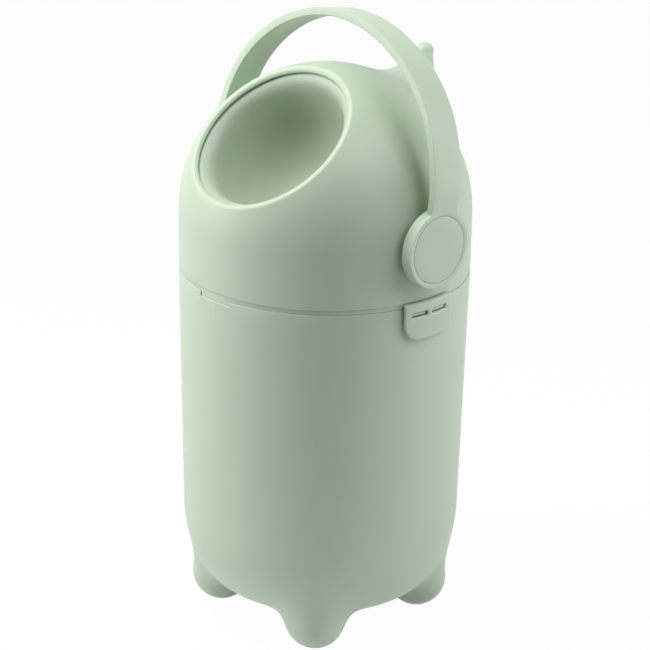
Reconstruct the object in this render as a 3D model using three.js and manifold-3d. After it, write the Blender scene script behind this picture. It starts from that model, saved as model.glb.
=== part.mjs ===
// Nappy bin: a round bucket on four moulded feet, a domed head with a slanted mouth, and a cup
// in a ball that the carrying handle turns over. Millimetres, +Z up, the floor is Z = 0.
// The mouth faces -Y, the handle turns about an axis along X, and left is -X.
import * as THREE from 'three';
import { mergeVertices } from 'three/addons/utils/BufferGeometryUtils.js';
import Module from 'manifold-3d';

const wasm = await Module();
wasm.setup();

// Fits and general values
const clearance = 0.3;
const facetRoom = 1;
const overrun = 6;
const roundSegments = 36;
const bucketSegments = 44;
const innerRowShare = 0.55;
const hubSegments = 28;
const smallSegments = 10;
const screwSegments = 8;
const quarterTurn = Math.PI / 2;

// Bucket
const bodyRadius = 130;
const wall = 3;
const draftShare = 0.0171;
const rimHeight = 334.2;
const bellyHeight = 31.3;
const bellyRoundHeight = 73.5;
const bellyRoundWidth = 39.7;
const notchHalfWidth = 19.2;
const notchDepth = 4.2;

// Feet, one at each diagonal
const footCount = 4;
const footTipRadius = 27.4;
const footTipInset = 39.1;
const footRootRadius = 26.8;
const footRootInset = 46.9;
const footRootHeight = 72;
const footBlend = 18.8;
const soleCut = 1.2;
const footCrowdingShare = 0.45;
// Spans of downward tilt under the bucket, as degrees from, degrees to and a count of rows
const undersideSpans = [[-90, -68, 3], [-68, -42, 13], [-42, 0, 5]];

// Head
const seamGap = 4.4;
const skirtHeight = 47.4;
const headEdge = rimHeight + seamGap;
const pivotHeight = headEdge + skirtHeight;
const headInnerRadius = bodyRadius - wall;
const mouthTilt = THREE.MathUtils.degToRad(39.5);
const mouthRadius = 72;
const mouthBevel = 2.4;
const mouthWall = 2.2;
const hornTipRadius = 7.4;
const hornTipProud = 40.6;
const hornTipLean = THREE.MathUtils.degToRad(44.3);
const hornTipBack = (bodyRadius + hornTipProud) * Math.sin(hornTipLean);
const hornTipRise = (bodyRadius + hornTipProud) * Math.cos(hornTipLean);
const hornRootRadius = 17.3;
const hornRootDepth = 9;
const hornRootLean = THREE.MathUtils.degToRad(55.2);
const hornRootBack = (bodyRadius - hornRootDepth) * Math.sin(hornRootLean);
const hornRootRise = (bodyRadius - hornRootDepth) * Math.cos(hornRootLean);
const hornBlend = 57.8;
const firstStep = THREE.MathUtils.degToRad(1.4);
const widestStep = THREE.MathUtils.degToRad(9);
const stepGrowthShare = 1.24;

// Ball and cup
const ballClearance = 3;
const ballWall = 3.2;
const ballRadius = headInnerRadius - ballClearance;
const ballFlatCut = 7;
const ballFlat = ballRadius - ballFlatCut;
const bossDepth = 5;
const mouthGap = 1;
const cupLap = 4.5;
const cupRimRadius = mouthRadius + cupLap;
const cupRimLedge = 3.3;
const cupNeckRadius = cupRimRadius - cupRimLedge;
const cupNeckWall = 9.7;
const cupBoreRadius = cupNeckRadius - cupNeckWall;
const cupBoreStep = 0.9;
const cupBowlRadius = cupBoreRadius - cupBoreStep;
const cupWall = 2.6;
const cupLipDepth = 9;
const cupThroatDepth = 10.8;
const cupCrestRadius = (cupRimRadius + cupNeckRadius) / 2;
const cupCrestLevel = Math.sqrt(ballRadius * ballRadius - cupCrestRadius * cupCrestRadius);
const cupBowlLevel = cupCrestLevel - cupLipDepth - cupThroatDepth;
const flangeWidth = 7.3;
const flangeRadius = cupNeckRadius + flangeWidth;
const flangeThickness = 2.3;
const lipThickness = 1.4;
const tongueThickness = 1.5;

// Pivot
const axleFlangeRadius = 22;
const axleFlangeThickness = 3;
const driveHalf = 6;
const journalRadius = 10.6;
const journalGap = 0.4;
const bushBore = journalRadius + journalGap;
const bushWall = 3.6;
const bushRadius = bushBore + bushWall;
const bushFlangeWidth = 3.4;
const bushFlangeRadius = bushRadius + bushFlangeWidth;
const bushFlangeThickness = 2.4;
const bushRunningGap = 0.5;
const stopSideGap = 0.8;
const stopReach = 3.2;
const stopInner = axleFlangeRadius + stopSideGap;
const stopOuter = stopInner + stopReach;
const stopHalfWidth = 3;
const stopGap = 0.4;
const flipTravel = THREE.MathUtils.degToRad(130);
const toothAngle = THREE.MathUtils.degToRad(25);

// Handle
const hubRadius = 34.2;
const hubGap = 1.7;
const hubInner = bodyRadius + hubGap;
const hubThickness = 10.5;
const hubFace = hubInner + hubThickness;
const hubRound = 0.7;
const quarterRoundShare = 0.3;
const capMargin = 4.6;
const capRadius = hubRadius - capMargin;
const capThickness = 3.3;
const capGap = 0.5;
const capEdge = 0.4;
const webThickness = 2.3;
const counterboreMargin = 2;
const screwHeadRoom = 0.4;
const strapWidthAtHub = 30.2;
const strapWidthAtTop = 28.5;
const strapThickness = 6.9;
const strapEdge = 1;
const strapSwell = 1.3;
const strapLean = THREE.MathUtils.degToRad(8.6);
const strapStartShare = 0.055;
const tangentShare = 0.002;
const archInset = 0.9;
const archRise = 177.9;
const archGrowthShares = [0, 0.298, 0.675, 0.902, 1];

// Screws
const hubScrewRadius = 2.3;
const hubScrewHead = 6;
const hubScrewHeadHeight = 1.6;
const hubScrewLength = 13;
const capSeat = hubFace - capThickness;
const driveReach = capSeat - screwHeadRoom - hubScrewHeadHeight - webThickness - 2 * clearance;
const smallScrewRadius = 1.5;
const smallScrewHead = 3;
const axleScrewLength = 9;
const axleScrewReach = 16;
const axleScrewCount = 3;
const seamScrewInset = 16;
const seamScrewReach = ballRadius - seamScrewInset;
const seamScrewTurn = THREE.MathUtils.degToRad(80);
const seamBossRadius = 5;
const seamBossLength = 12;
const seamScrewLength = 18;

// Collar, gasket and rings
const seamInset = 2.2;
const collarRadius = bodyRadius - seamInset;
const collarSkirtGap = 1.4;
const collarSkirtRadius = headInnerRadius - collarSkirtGap;
const collarWall = 3;
const collarBore = collarSkirtRadius - collarWall;
const collarSkirtDepth = 18;
const collarSpigotHeight = 10;
const snapBead = 1;
const keyInset = 0.3;
const keyRadius = bodyRadius - keyInset;
const gasketHeight = 4;
const gasketDepth = 1.7;
const gasketBelowRim = 8;
const bagRingWidth = 14;
const bagRingHeight = 6;
const bagRingDrop = 28.2;
const bagRingTop = rimHeight - bagRingDrop;
const bagRingBead = 2;
const ledgeReach = 8;
const ledgeHeight = 7;
const ledgeHalfWidth = 9;
const sealWidth = 6;
const sealGap = 0.7;
const sealThickness = ballClearance - facetRoom - sealGap;

// Side clips
const clipGap = 1;
const clipInnerRadius = bodyRadius + clipGap;
const clipThickness = 3.4;
const clipHalfAngle = THREE.MathUtils.degToRad(12);
const clipHeight = 34.9;
const clipTop = headEdge - clearance;
const clipBottom = clipTop - clipHeight;
const clipFrontRound = 14;
const clipBackRound = 3;
const slotDrop = 8.5;
const slotBottom = rimHeight - slotDrop;
const slotHeight = 3.7;
const slotStart = 2.6;
const slotLength = 17.9;
const slotEnd = slotStart + slotLength;
const lugReach = 2.2;
const lugRadius = clipInnerRadius + lugReach;
const lugThickness = 1.8;
const lugRise = 1.4;
const lugFrontGap = 0.8;
const lugBackGap = 2.4;
const pinRoom = 1.4;
const pinRadius = 0.7;
const pinHalfLength = 18;
const knuckleRadius = 1.7;
const knuckleOverlap = 2;
const knuckleHalfLength = pinHalfLength + knuckleOverlap;
const earStart = 10;
const earWidth = 4;

// Colours
const shellColour = 0xb4cab0;
const sealColour = 0x9fb49c;
const innerColour = 0xc9d2c4;
const steelColour = 0x9a9da0;

// A mesh geometry as a solid, with its shared corners merged
function solid(geometry) {
  const bare = geometry.clone();
  bare.deleteAttribute('normal');
  bare.deleteAttribute('uv');
  const merged = mergeVertices(bare, 1e-4);
  const vertProperties = new Float32Array(merged.attributes.position.array);
  const triVerts = new Uint32Array(merged.index.array);
  return new wasm.Manifold(new wasm.Mesh({ numProp: 3, vertProperties, triVerts }));
}

// A solid back to a mesh geometry
function surface(body) {
  const mesh = body.getMesh();
  const geometry = new THREE.BufferGeometry();
  const positions = new THREE.BufferAttribute(new Float32Array(mesh.vertProperties), 3);
  geometry.setAttribute('position', positions);
  geometry.setIndex(Array.from(mesh.triVerts));
  geometry.computeVertexNormals();
  return geometry;
}

// A closed solid through rows of points: a row of one point is an end, any other row is a ring
function loft(rows) {
  const positions = [];
  const starts = [];
  for (const row of rows) {
    starts.push(positions.length / 3);
    for (const point of row) positions.push(point.x, point.y, point.z);
  }
  const index = [];
  for (let i = 0; i + 1 < rows.length; i++) {
    const count = Math.max(rows[i].length, rows[i + 1].length);
    for (let j = 0; j < count; j++) {
      const next = (j + 1) % count;
      const a = starts[i] + (rows[i].length > 1 ? j : 0);
      const b = starts[i] + (rows[i].length > 1 ? next : 0);
      const c = starts[i + 1] + (rows[i + 1].length > 1 ? j : 0);
      const d = starts[i + 1] + (rows[i + 1].length > 1 ? next : 0);
      if (a !== b) index.push(a, b, d);
      if (c !== d) index.push(a, d, c);
    }
  }
  const geometry = new THREE.BufferGeometry();
  geometry.setAttribute('position', new THREE.Float32BufferAttribute(positions, 3));
  geometry.setIndex(index);
  return solid(geometry);
}

// A turned solid about Z from a closed profile of [radius, height] pairs
function turned(profile, segments = roundSegments) {
  const points = profile.map(([radius, height]) => new THREE.Vector2(radius, height));
  if (profile[0][0] > 0 || profile[profile.length - 1][0] > 0) points.push(points[0].clone());
  const geometry = new THREE.LatheGeometry(points, segments);
  geometry.rotateX(quarterTurn);
  const body = solid(geometry);
  return body.volume() < 0 ? solid(flipped(geometry)) : body;
}

// The same geometry with its faces turned over
function flipped(geometry) {
  const turnedOver = geometry.clone();
  const index = turnedOver.index.array;
  for (let i = 0; i < index.length; i += 3) {
    const first = index[i];
    index[i] = index[i + 1];
    index[i + 1] = first;
  }
  return turnedOver;
}

// A box between two corners
function block(low, high) {
  const geometry = new THREE.BoxGeometry(high[0] - low[0], high[1] - low[1], high[2] - low[2]);
  geometry.translate((low[0] + high[0]) / 2, (low[1] + high[1]) / 2, (low[2] + high[2]) / 2);
  return solid(geometry);
}

// A turned solid laid along +X, its profile given as [radius, x]
function turnedAlongX(profile, segments) {
  return turned(profile, segments).rotate([0, 90, 0]);
}

// A plain round bar along X
function barAlongX(radius, from, to, segments = smallSegments) {
  return turnedAlongX([[0, from], [radius, from], [radius, to], [0, to]], segments);
}

// A plain round bar along Y
function barAlongY(radius, from, to, segments = smallSegments) {
  return turned([[0, from], [radius, from], [radius, to], [0, to]], segments).rotate([-90, 0, 0]);
}

// The height of a sphere about the pivot, above the pivot, at a given distance from its axis
function sphereRise(radius, reach) {
  return Math.sqrt(radius * radius - reach * reach);
}

// Moves a solid made about the pivot, with its axis up, to the slanted mouth axis
function toMouth(body) {
  return body.rotate([THREE.MathUtils.radToDeg(mouthTilt), 0, 0]).translate([0, 0, pivotHeight]);
}

// The mirror of a solid on the other side of the middle plane
function mirrored(body) {
  return body.mirror([1, 0, 0]);
}

// A smooth union of two distances
function blend(a, b, width) {
  const share = THREE.MathUtils.clamp(0.5 + (0.5 * (b - a)) / width, 0, 1);
  return b * (1 - share) + a * share - width * share * (1 - share);
}

// Distance to the round-ended taper between two balls
function taperDistance(point, from, to, fromRadius, toRadius) {
  const axis = to.clone().sub(from);
  const reach = axis.length();
  const offset = point.clone().sub(from);
  const along = offset.dot(axis) / reach;
  const across = Math.sqrt(Math.max(offset.lengthSq() - along * along, 0));
  const slope = (fromRadius - toRadius) / reach;
  const cosine = Math.sqrt(1 - slope * slope);
  const foot = THREE.MathUtils.clamp((along + (across * slope) / cosine) / reach, 0, 1);
  const radius = fromRadius + (toRadius - fromRadius) * foot;
  return Math.hypot(along - foot * reach, across) - radius;
}

// The distance along a ray at which a distance field reaches a level
function reachAlong(origin, direction, field, level, limit) {
  let near = 0;
  let far = limit;
  const halvings = 30;
  const point = new THREE.Vector3();
  for (let step = 0; step < halvings; step++) {
    const middle = (near + far) / 2;
    point.copy(origin).addScaledVector(direction, middle);
    if (field(point) < level) near = middle;
    else far = middle;
  }
  return point.copy(origin).addScaledVector(direction, near).clone();
}

// The outer radius of the bucket's wall at a height
function wallRadius(height) {
  return bodyRadius - draftShare * (rimHeight - height);
}

// Distance to the outside of the bucket with its feet
function bucketField(point) {
  const radius = Math.hypot(point.x, point.y);
  const edge = wallRadius(point.z);
  const across = (radius - (edge - bellyRoundWidth)) / bellyRoundWidth;
  const down = (bellyHeight + bellyRoundHeight - point.z) / bellyRoundHeight;
  let distance = Math.max(radius - edge, bellyHeight - point.z);
  if (across > 0 && down > 0) {
    const size = Math.hypot(across, down);
    const slope = Math.hypot(across / bellyRoundWidth, down / bellyRoundHeight);
    distance = ((size - 1) * size) / slope;
  }
  const sector = (2 * Math.PI) / footCount;
  const turn = Math.atan2(point.y, point.x) - sector / 2;
  const offset = turn - Math.round(turn / sector) * sector;
  const folded = new THREE.Vector3(radius * Math.cos(offset), radius * Math.sin(offset), point.z);
  const tip = new THREE.Vector3(bodyRadius - footTipInset, 0, footTipRadius - soleCut);
  const root = new THREE.Vector3(bodyRadius - footRootInset, 0, footRootHeight);
  return blend(distance, taperDistance(folded, tip, root, footTipRadius, footRootRadius), footBlend);
}

// The downward tilts of the rows under the bucket, closest together where the feet are
function undersideTilts(rowShare) {
  const tilts = [];
  for (const [from, to, count] of undersideSpans) {
    const rows = Math.max(1, Math.round(count * rowShare));
    for (let i = 1; i <= rows; i++) {
      tilts.push(THREE.MathUtils.degToRad(from + ((to - from) * i) / rows));
    }
  }
  return tilts;
}

// One skin of the bucket as rows from the middle of its underside to its rim
function bucketSkin(level, rowShare) {
  const centre = new THREE.Vector3(0, 0, bellyHeight + bellyRoundHeight + 2 * footBlend);
  const down = new THREE.Vector3(0, 0, -1);
  const limit = 2 * bodyRadius;
  const rows = [[reachAlong(centre, down, bucketField, level, limit)]];
  for (const tilt of undersideTilts(rowShare)) {
    const row = [];
    const crowding = footCrowdingShare * Math.min(1, (-2 * tilt) / quarterTurn);
    for (let j = 0; j < bucketSegments; j++) {
      const even = (2 * Math.PI * j) / bucketSegments;
      const turn = even + (crowding * Math.sin(footCount * even)) / footCount;
      const direction = new THREE.Vector3(
        Math.cos(tilt) * Math.cos(turn), Math.cos(tilt) * Math.sin(turn), Math.sin(tilt));
      row.push(reachAlong(centre, direction, bucketField, level, limit));
    }
    rows.push(row);
  }
  const edge = [];
  for (let j = 0; j < bucketSegments; j++) {
    const turn = (2 * Math.PI * j) / bucketSegments;
    const radius = wallRadius(rimHeight) + level;
    edge.push(new THREE.Vector3(radius * Math.cos(turn), radius * Math.sin(turn), rimHeight));
  }
  rows.push(edge);
  return rows;
}

// The two lugs that a side clip's slots drop over, on the +X side
function clipLugs() {
  const low = slotBottom + lugRise;
  const ring = turned([
    [bodyRadius - wall / 2, low], [lugRadius, low],
    [lugRadius, low + lugThickness], [bodyRadius - wall / 2, low + lugThickness]], 2 * roundSegments);
  const outward = 2 * bodyRadius;
  const front = block(
    [0, -slotEnd + lugFrontGap, low - overrun], [outward, -slotStart - lugBackGap, low + overrun]);
  const back = block(
    [0, slotStart + lugFrontGap, low - overrun], [outward, slotEnd - lugBackGap, low + overrun]);
  return ring.intersect(front.add(back));
}

// The ledges inside the bucket that carry the bag ring
function bagLedges() {
  const top = bagRingTop - bagRingHeight - clearance;
  const outer = wallRadius(top) - wall / 2;
  const inner = wallRadius(top) - wall - ledgeReach;
  const along = block([-outer, -ledgeHalfWidth, top - ledgeHeight], [outer, ledgeHalfWidth, top]);
  const across = block([-ledgeHalfWidth, -outer, top - ledgeHeight], [ledgeHalfWidth, outer, top]);
  const ring = turned([[inner, top - ledgeHeight - overrun], [outer, top - ledgeHeight - overrun],
    [outer, top + overrun], [inner, top + overrun]]);
  return along.add(across).intersect(ring);
}

function makeBucket() {
  const outside = bucketSkin(0, 1);
  const inside = bucketSkin(-wall, innerRowShare);
  let body = loft([...outside, ...inside.reverse()]);
  const size = 2 * bodyRadius;
  body = body.subtract(block([-size, -size, -size], [size, size, 0]));
  body = body.add(bagLedges());
  body = body.add(clipLugs()).add(mirrored(clipLugs()));
  const notchLow = [-notchHalfWidth, -size, rimHeight - notchDepth];
  return body.subtract(block(notchLow, [notchHalfWidth, 0, rimHeight + overrun]));
}

// Distance to the outside of the dome with its horn, about the pivot
function domeField(point) {
  const reach = Math.hypot(point.x, point.y);
  const dome = point.z > 0 ? point.length() - bodyRadius : reach - bodyRadius;
  const tip = new THREE.Vector3(0, hornTipBack, hornTipRise);
  const root = new THREE.Vector3(0, hornRootBack, hornRootRise);
  const horn = taperDistance(point, tip, root, hornTipRadius, hornRootRadius);
  return Math.max(blend(dome, horn, hornBlend), -point.z - bodyRadius);
}

// The outside of the dome as a closed solid, finest at the tip of the horn
function domeSkin(segments) {
  const axis = new THREE.Vector3(0, hornTipBack, hornTipRise).normalize();
  const side = new THREE.Vector3(1, 0, 0);
  const up = new THREE.Vector3().crossVectors(axis, side);
  const origin = new THREE.Vector3();
  const limit = 2 * bodyRadius;
  const rows = [[reachAlong(origin, axis, domeField, 0, limit)]];
  let step = firstStep;
  for (let tilt = step; tilt < Math.PI - step / 2; tilt += step) {
    step = Math.min(step * stepGrowthShare, widestStep);
    const row = [];
    for (let j = 0; j < segments; j++) {
      const turn = (2 * Math.PI * j) / segments;
      const direction = axis.clone().multiplyScalar(Math.cos(tilt));
      direction.addScaledVector(side, Math.sin(tilt) * Math.cos(turn));
      direction.addScaledVector(up, Math.sin(tilt) * Math.sin(turn));
      row.push(reachAlong(origin, direction, domeField, 0, limit));
    }
    rows.push(row);
  }
  rows.push([reachAlong(origin, axis.clone().negate(), domeField, 0, limit)]);
  return loft(rows.reverse()).translate([0, 0, pivotHeight]);
}

// The hollow of the head: a round room with a dome over it, and the hollow of the horn
function headHollow() {
  const profile = [[0, -skirtHeight - overrun], [headInnerRadius, -skirtHeight - overrun]];
  const steps = 11;
  for (let i = 0; i < steps; i++) {
    const tilt = (quarterTurn * i) / steps;
    profile.push([headInnerRadius * Math.cos(tilt), headInnerRadius * Math.sin(tilt)]);
  }
  profile.push([0, headInnerRadius]);
  const lean = Math.atan2(hornTipBack - hornRootBack, hornTipRise - hornRootRise);
  const reach = Math.hypot(hornTipBack - hornRootBack, hornTipRise - hornRootRise);
  const tip = hornTipRadius - wall;
  const taper = [[0, 0], [hornRootRadius - wall, 0], [tip, reach], [tip / 2, reach + tip], [0, reach + tip]];
  const leaning = turned(taper, smallSegments).rotate([-THREE.MathUtils.radToDeg(lean), 0, 0]);
  const horn = leaning.translate([0, hornRootBack, hornRootRise]);
  return turned(profile).add(horn).translate([0, 0, pivotHeight]);
}

// The slanted mouth: a round hole with a bevelled lip
function mouthCutter() {
  const lip = sphereRise(bodyRadius, mouthRadius);
  return toMouth(turned([
    [0, bodyRadius / 2], [mouthRadius, bodyRadius / 2], [mouthRadius, lip - mouthBevel],
    [mouthRadius + 2 * mouthBevel, lip + mouthBevel], [mouthRadius + 2 * mouthBevel, bodyRadius + overrun],
    [0, bodyRadius + overrun]]));
}

// The short wall inside the mouth that ends just above the cup's lip
function mouthRing() {
  const inner = mouthRadius - clearance;
  const outer = mouthRadius + mouthWall;
  const high = sphereRise(headInnerRadius + wall / 2, outer);
  const low = ballRadius + mouthGap;
  return toMouth(turned([
    [inner, sphereRise(low, mouthRadius)], [outer, sphereRise(low, outer)], [outer, high], [inner, high]]));
}

function makeHeadShell() {
  const size = 2 * bodyRadius;
  let body = domeSkin(roundSegments).subtract(headHollow()).add(mouthRing());
  body = body.subtract(block([-size, -size, 0], [size, size, headEdge]));
  body = body.subtract(mouthCutter());
  const hole = bushRadius + clearance;
  body = body.subtract(barAlongX(hole, -size, size, hubSegments / 2).translate([0, 0, pivotHeight]));
  const bead = headEdge + collarSpigotHeight - snapBead;
  const groove = turned([
    [collarBore, bead - snapBead - clearance], [headInnerRadius + snapBead, bead - snapBead - clearance],
    [headInnerRadius + snapBead, bead + snapBead + clearance], [collarBore, bead + snapBead + clearance]]);
  return body.subtract(groove);
}

// Ears on the collar that hold a clip's pin, on the +X side
function clipEars() {
  const pin = clipPinPlace();
  const starts = [-earStart - earWidth, earStart];
  let ears = null;
  for (const start of starts) {
    const low = [collarBore + wall, start, pin.z - knuckleRadius];
    const arm = block(low, [pin.x, start + earWidth, pin.z + knuckleRadius]);
    const eye = barAlongY(knuckleRadius, start, start + earWidth).translate([pin.x, 0, pin.z]);
    const ear = arm.add(eye);
    ears = ears ? ears.add(ear) : ear;
  }
  const hole = barAlongY(pinRadius + clearance, -2 * earStart, 2 * earStart);
  return ears.subtract(hole.translate([pin.x, 0, pin.z]));
}

// Where a clip's pin lies on the +X side
function clipPinPlace() {
  return { x: collarRadius + pinRoom + knuckleRadius, z: rimHeight + seamGap / 2 };
}

// The key on the collar that fills the bucket's notch
function collarKey() {
  const low = rimHeight - notchDepth + clearance;
  const high = rimHeight + seamGap / 2;
  const root = collarSkirtRadius - wall / 2;
  const ring = turned([[root, low], [keyRadius, low], [keyRadius, high], [root, high]]);
  const half = notchHalfWidth - clearance;
  return ring.intersect(block([-half, -bodyRadius, low], [half, 0, high]));
}

function makeCollar() {
  const flangeLow = rimHeight + clearance;
  const flangeHigh = headEdge - clearance;
  const skirtLow = rimHeight - collarSkirtDepth;
  const spigotHigh = headEdge + collarSpigotHeight;
  const spigotRadius = headInnerRadius - 2 * clearance;
  const grooveRadius = collarSkirtRadius - gasketDepth;
  const grooveHigh = rimHeight - gasketBelowRim;
  const grooveLow = grooveHigh - gasketHeight;
  const body = turned([
    [collarBore, skirtLow], [collarSkirtRadius, skirtLow], [collarSkirtRadius, grooveLow],
    [grooveRadius, grooveLow], [grooveRadius, grooveHigh], [collarSkirtRadius, grooveHigh],
    [collarSkirtRadius, flangeLow], [collarRadius, flangeLow], [collarRadius, flangeHigh],
    [spigotRadius, flangeHigh], [spigotRadius, spigotHigh - 2 * snapBead],
    [spigotRadius + snapBead, spigotHigh - snapBead], [spigotRadius, spigotHigh],
    [collarBore, spigotHigh]]);
  return body.add(collarKey()).add(clipEars()).add(mirrored(clipEars()));
}

function makeRimGasket() {
  const outer = wallRadius(rimHeight - gasketBelowRim - gasketHeight) - wall - 2 * clearance;
  const inner = collarSkirtRadius - gasketDepth + clearance;
  const low = rimHeight - gasketBelowRim - gasketHeight + clearance;
  const high = rimHeight - gasketBelowRim - clearance;
  return turned([
    [inner, low], [outer - clearance, low], [outer, (low + high) / 2],
    [outer - clearance, high], [inner, high]]);
}

function makeBagRing() {
  const outer = wallRadius(bagRingTop) - wall - 2 * clearance - bagRingBead / 2;
  const inner = outer - bagRingWidth;
  const low = bagRingTop - bagRingHeight;
  return turned([
    [inner, low + bagRingBead], [inner + bagRingBead, low], [outer - bagRingBead, low],
    [outer, low + bagRingBead], [outer, bagRingTop], [outer - bagRingBead, bagRingTop],
    [outer - 2 * bagRingBead, low + 2 * bagRingBead], [inner + bagRingBead, low + 2 * bagRingBead]]);
}

// The soft ring inside the head that closes the gap round the mouth
function makeMouthSeal() {
  const outer = headInnerRadius - facetRoom;
  const inner = outer - sealThickness;
  const near = mouthRadius + mouthWall + clearance;
  const far = near + sealWidth;
  const middle = (near + far) / 2;
  return toMouth(turned([
    [near, sphereRise(inner, near)], [middle, sphereRise(inner, middle)], [far, sphereRise(inner, far)],
    [far, sphereRise(outer, far)], [middle, sphereRise(outer, middle)], [near, sphereRise(outer, near)]]));
}

// The places round the ball's middle plane where its halves are screwed together, as [y, z]
function seamScrewPlaces() {
  return [-seamScrewTurn, 0, seamScrewTurn].map((offset) => {
    const turn = offset + mouthTilt - quarterTurn;
    return [seamScrewReach * Math.cos(turn), pivotHeight + seamScrewReach * Math.sin(turn)];
  });
}

// A ball about the pivot, with its poles on the mouth's axis
function ball(radius) {
  const points = [];
  const steps = 14;
  for (let i = 0; i <= steps; i++) {
    const tilt = -quarterTurn + (Math.PI * i) / steps;
    points.push([i === 0 || i === steps ? 0 : radius * Math.cos(tilt), radius * Math.sin(tilt)]);
  }
  return toMouth(turned(points, hubSegments));
}

// The room between two planes square to X
function slab(from, to) {
  const size = 2 * bodyRadius;
  return block([from, -size, 0], [to, size, pivotHeight + size]);
}

// The hole in the ball round the cup, with a step for the cup's lip
function ballMouth() {
  const size = 2 * bodyRadius;
  const tongue = ballRadius - ballWall + tongueThickness;
  const neck = cupNeckRadius + clearance;
  const rim = cupRimRadius + clearance;
  return toMouth(turned([
    [0, cupBowlLevel / 2], [neck, cupBowlLevel / 2], [neck, sphereRise(tongue, neck)],
    [rim, sphereRise(tongue, rim)], [rim, size], [0, size]]));
}

// The bosses inside the +X half that take the seam screws, each joined to the wall
function seamBosses() {
  const outward = (seamScrewReach + seamScrewInset / 2) / seamScrewReach;
  let bosses = null;
  for (const [y, z] of seamScrewPlaces()) {
    const boss = barAlongX(seamBossRadius, 0, seamBossLength);
    const rise = pivotHeight + (z - pivotHeight) * outward;
    const joined = boss.translate([0, y, z]).add(boss.translate([0, y * outward, rise]));
    bosses = bosses ? bosses.add(joined) : joined;
  }
  return bosses.intersect(ball(ballRadius - ballWall / 2));
}

// The +X half of the ball that carries the cup
function ballHalf() {
  const padFrom = ballFlat - ballWall - bossDepth;
  const padTo = ballFlat - ballWall / 2;
  const inside = ball(ballRadius - ballWall).intersect(slab(-ballFlat, ballFlat - ballWall));
  const pad = barAlongX(axleFlangeRadius, padFrom, padTo, hubSegments / 2).translate([0, 0, pivotHeight]);
  let body = ball(ballRadius).intersect(slab(0, ballFlat)).subtract(inside);
  body = body.add(pad).add(seamBosses()).subtract(ballMouth());
  body = body.intersect(slab(clearance / 2, ballRadius));
  const hole = smallScrewRadius + clearance;
  for (const angle of axleScrewTurns()) {
    const [y, z] = axleScrewPlace(angle);
    const drilled = barAlongX(hole, padFrom - overrun, ballFlat + overrun, screwSegments);
    body = body.subtract(drilled.translate([0, y, pivotHeight + z]));
  }
  for (const [y, z] of seamScrewPlaces()) {
    const drilled = barAlongX(hole, -overrun, seamBossLength + overrun, screwSegments);
    body = body.subtract(drilled.translate([0, y, z]));
  }
  return body;
}

// The turns about the pivot at which an axle is screwed to the ball
function axleScrewTurns() {
  const turns = [];
  for (let i = 0; i < axleScrewCount; i++) turns.push(quarterTurn + (2 * Math.PI * i) / axleScrewCount);
  return turns;
}

// The place of an axle screw about the pivot, as [y, z]
function axleScrewPlace(angle) {
  return [axleScrewReach * Math.cos(angle), axleScrewReach * Math.sin(angle)];
}

function makeCup() {
  const sphere = ballRadius;
  const underLip = sphere - lipThickness;
  const flangeTop = sphere - ballWall - facetRoom;
  const flangeLow = flangeTop - flangeThickness;
  const profile = [[0, cupBowlLevel - cupBowlRadius - cupWall]];
  const steps = 7;
  for (let i = 1; i <= steps; i++) {
    const turn = (quarterTurn * i) / steps;
    const radius = cupBowlRadius + cupWall;
    profile.push([radius * Math.sin(turn), cupBowlLevel - radius * Math.cos(turn)]);
  }
  profile.push(
    [cupNeckRadius, sphereRise(flangeLow, cupNeckRadius) - flangeThickness],
    [cupNeckRadius, sphereRise(flangeLow, cupNeckRadius)],
    [flangeRadius, sphereRise(flangeLow, flangeRadius)],
    [flangeRadius, sphereRise(flangeTop, flangeRadius)],
    [cupNeckRadius, sphereRise(flangeTop, cupNeckRadius)],
    [cupNeckRadius, sphereRise(underLip, cupNeckRadius)],
    [cupRimRadius, sphereRise(underLip, cupRimRadius)],
    [cupRimRadius - lipThickness / 4, sphereRise(sphere, cupRimRadius)],
    [cupCrestRadius, cupCrestLevel]);
  const lipSteps = 3;
  for (let i = 1; i <= lipSteps; i++) {
    const turn = (quarterTurn * i) / lipSteps;
    profile.push([
      cupCrestRadius - (cupCrestRadius - cupBoreRadius) * Math.sin(turn),
      cupCrestLevel - cupLipDepth * (1 - Math.cos(turn))]);
  }
  for (let i = steps; i >= 1; i--) {
    const turn = (quarterTurn * i) / steps;
    profile.push([cupBowlRadius * Math.sin(turn), cupBowlLevel - cupBowlRadius * Math.cos(turn)]);
  }
  profile.push([0, cupBowlLevel - cupBowlRadius]);
  return toMouth(turned(profile));
}

// The stub on the ball's flat that drives the ball from the handle, on the +X side
function makeAxle(isLeft) {
  const inner = ballFlat + clearance;
  const outer = inner + axleFlangeThickness;
  const middle = (inner + outer) / 2;
  let body = barAlongX(axleFlangeRadius, inner, outer, hubSegments / 2);
  body = body.add(block([middle, -driveHalf, -driveHalf], [driveReach, driveHalf, driveHalf]));
  const tooth = block([inner, axleFlangeRadius / 2, -stopHalfWidth], [outer, stopOuter, stopHalfWidth]);
  body = body.add(tooth.rotate([THREE.MathUtils.radToDeg(toothAngle), 0, 0]));
  const thread = hubScrewRadius + clearance;
  body = body.subtract(barAlongX(thread, driveReach - hubScrewLength, driveReach + overrun));
  for (const angle of axleScrewTurns()) {
    const [y, z] = axleScrewPlace(angle);
    const hole = smallScrew(outer, clearance);
    body = body.subtract(hole.translate([0, y, z]));
  }
  body = body.translate([0, 0, pivotHeight]);
  return isLeft ? mirrored(body) : body;
}

// A countersunk screw along X with its head flush with a face, grown all round for its hole
function smallScrew(face, growth) {
  const sink = smallScrewHead - smallScrewRadius;
  const tip = face - axleScrewLength - growth;
  return turnedAlongX([
    [0, tip], [smallScrewRadius + growth, tip], [smallScrewRadius + growth, face - sink - 2 * clearance],
    [smallScrewHead + growth, face - 2 * clearance + growth],
    [smallScrewHead + growth, face + growth * overrun], [0, face + growth * overrun]], screwSegments);
}

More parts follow.
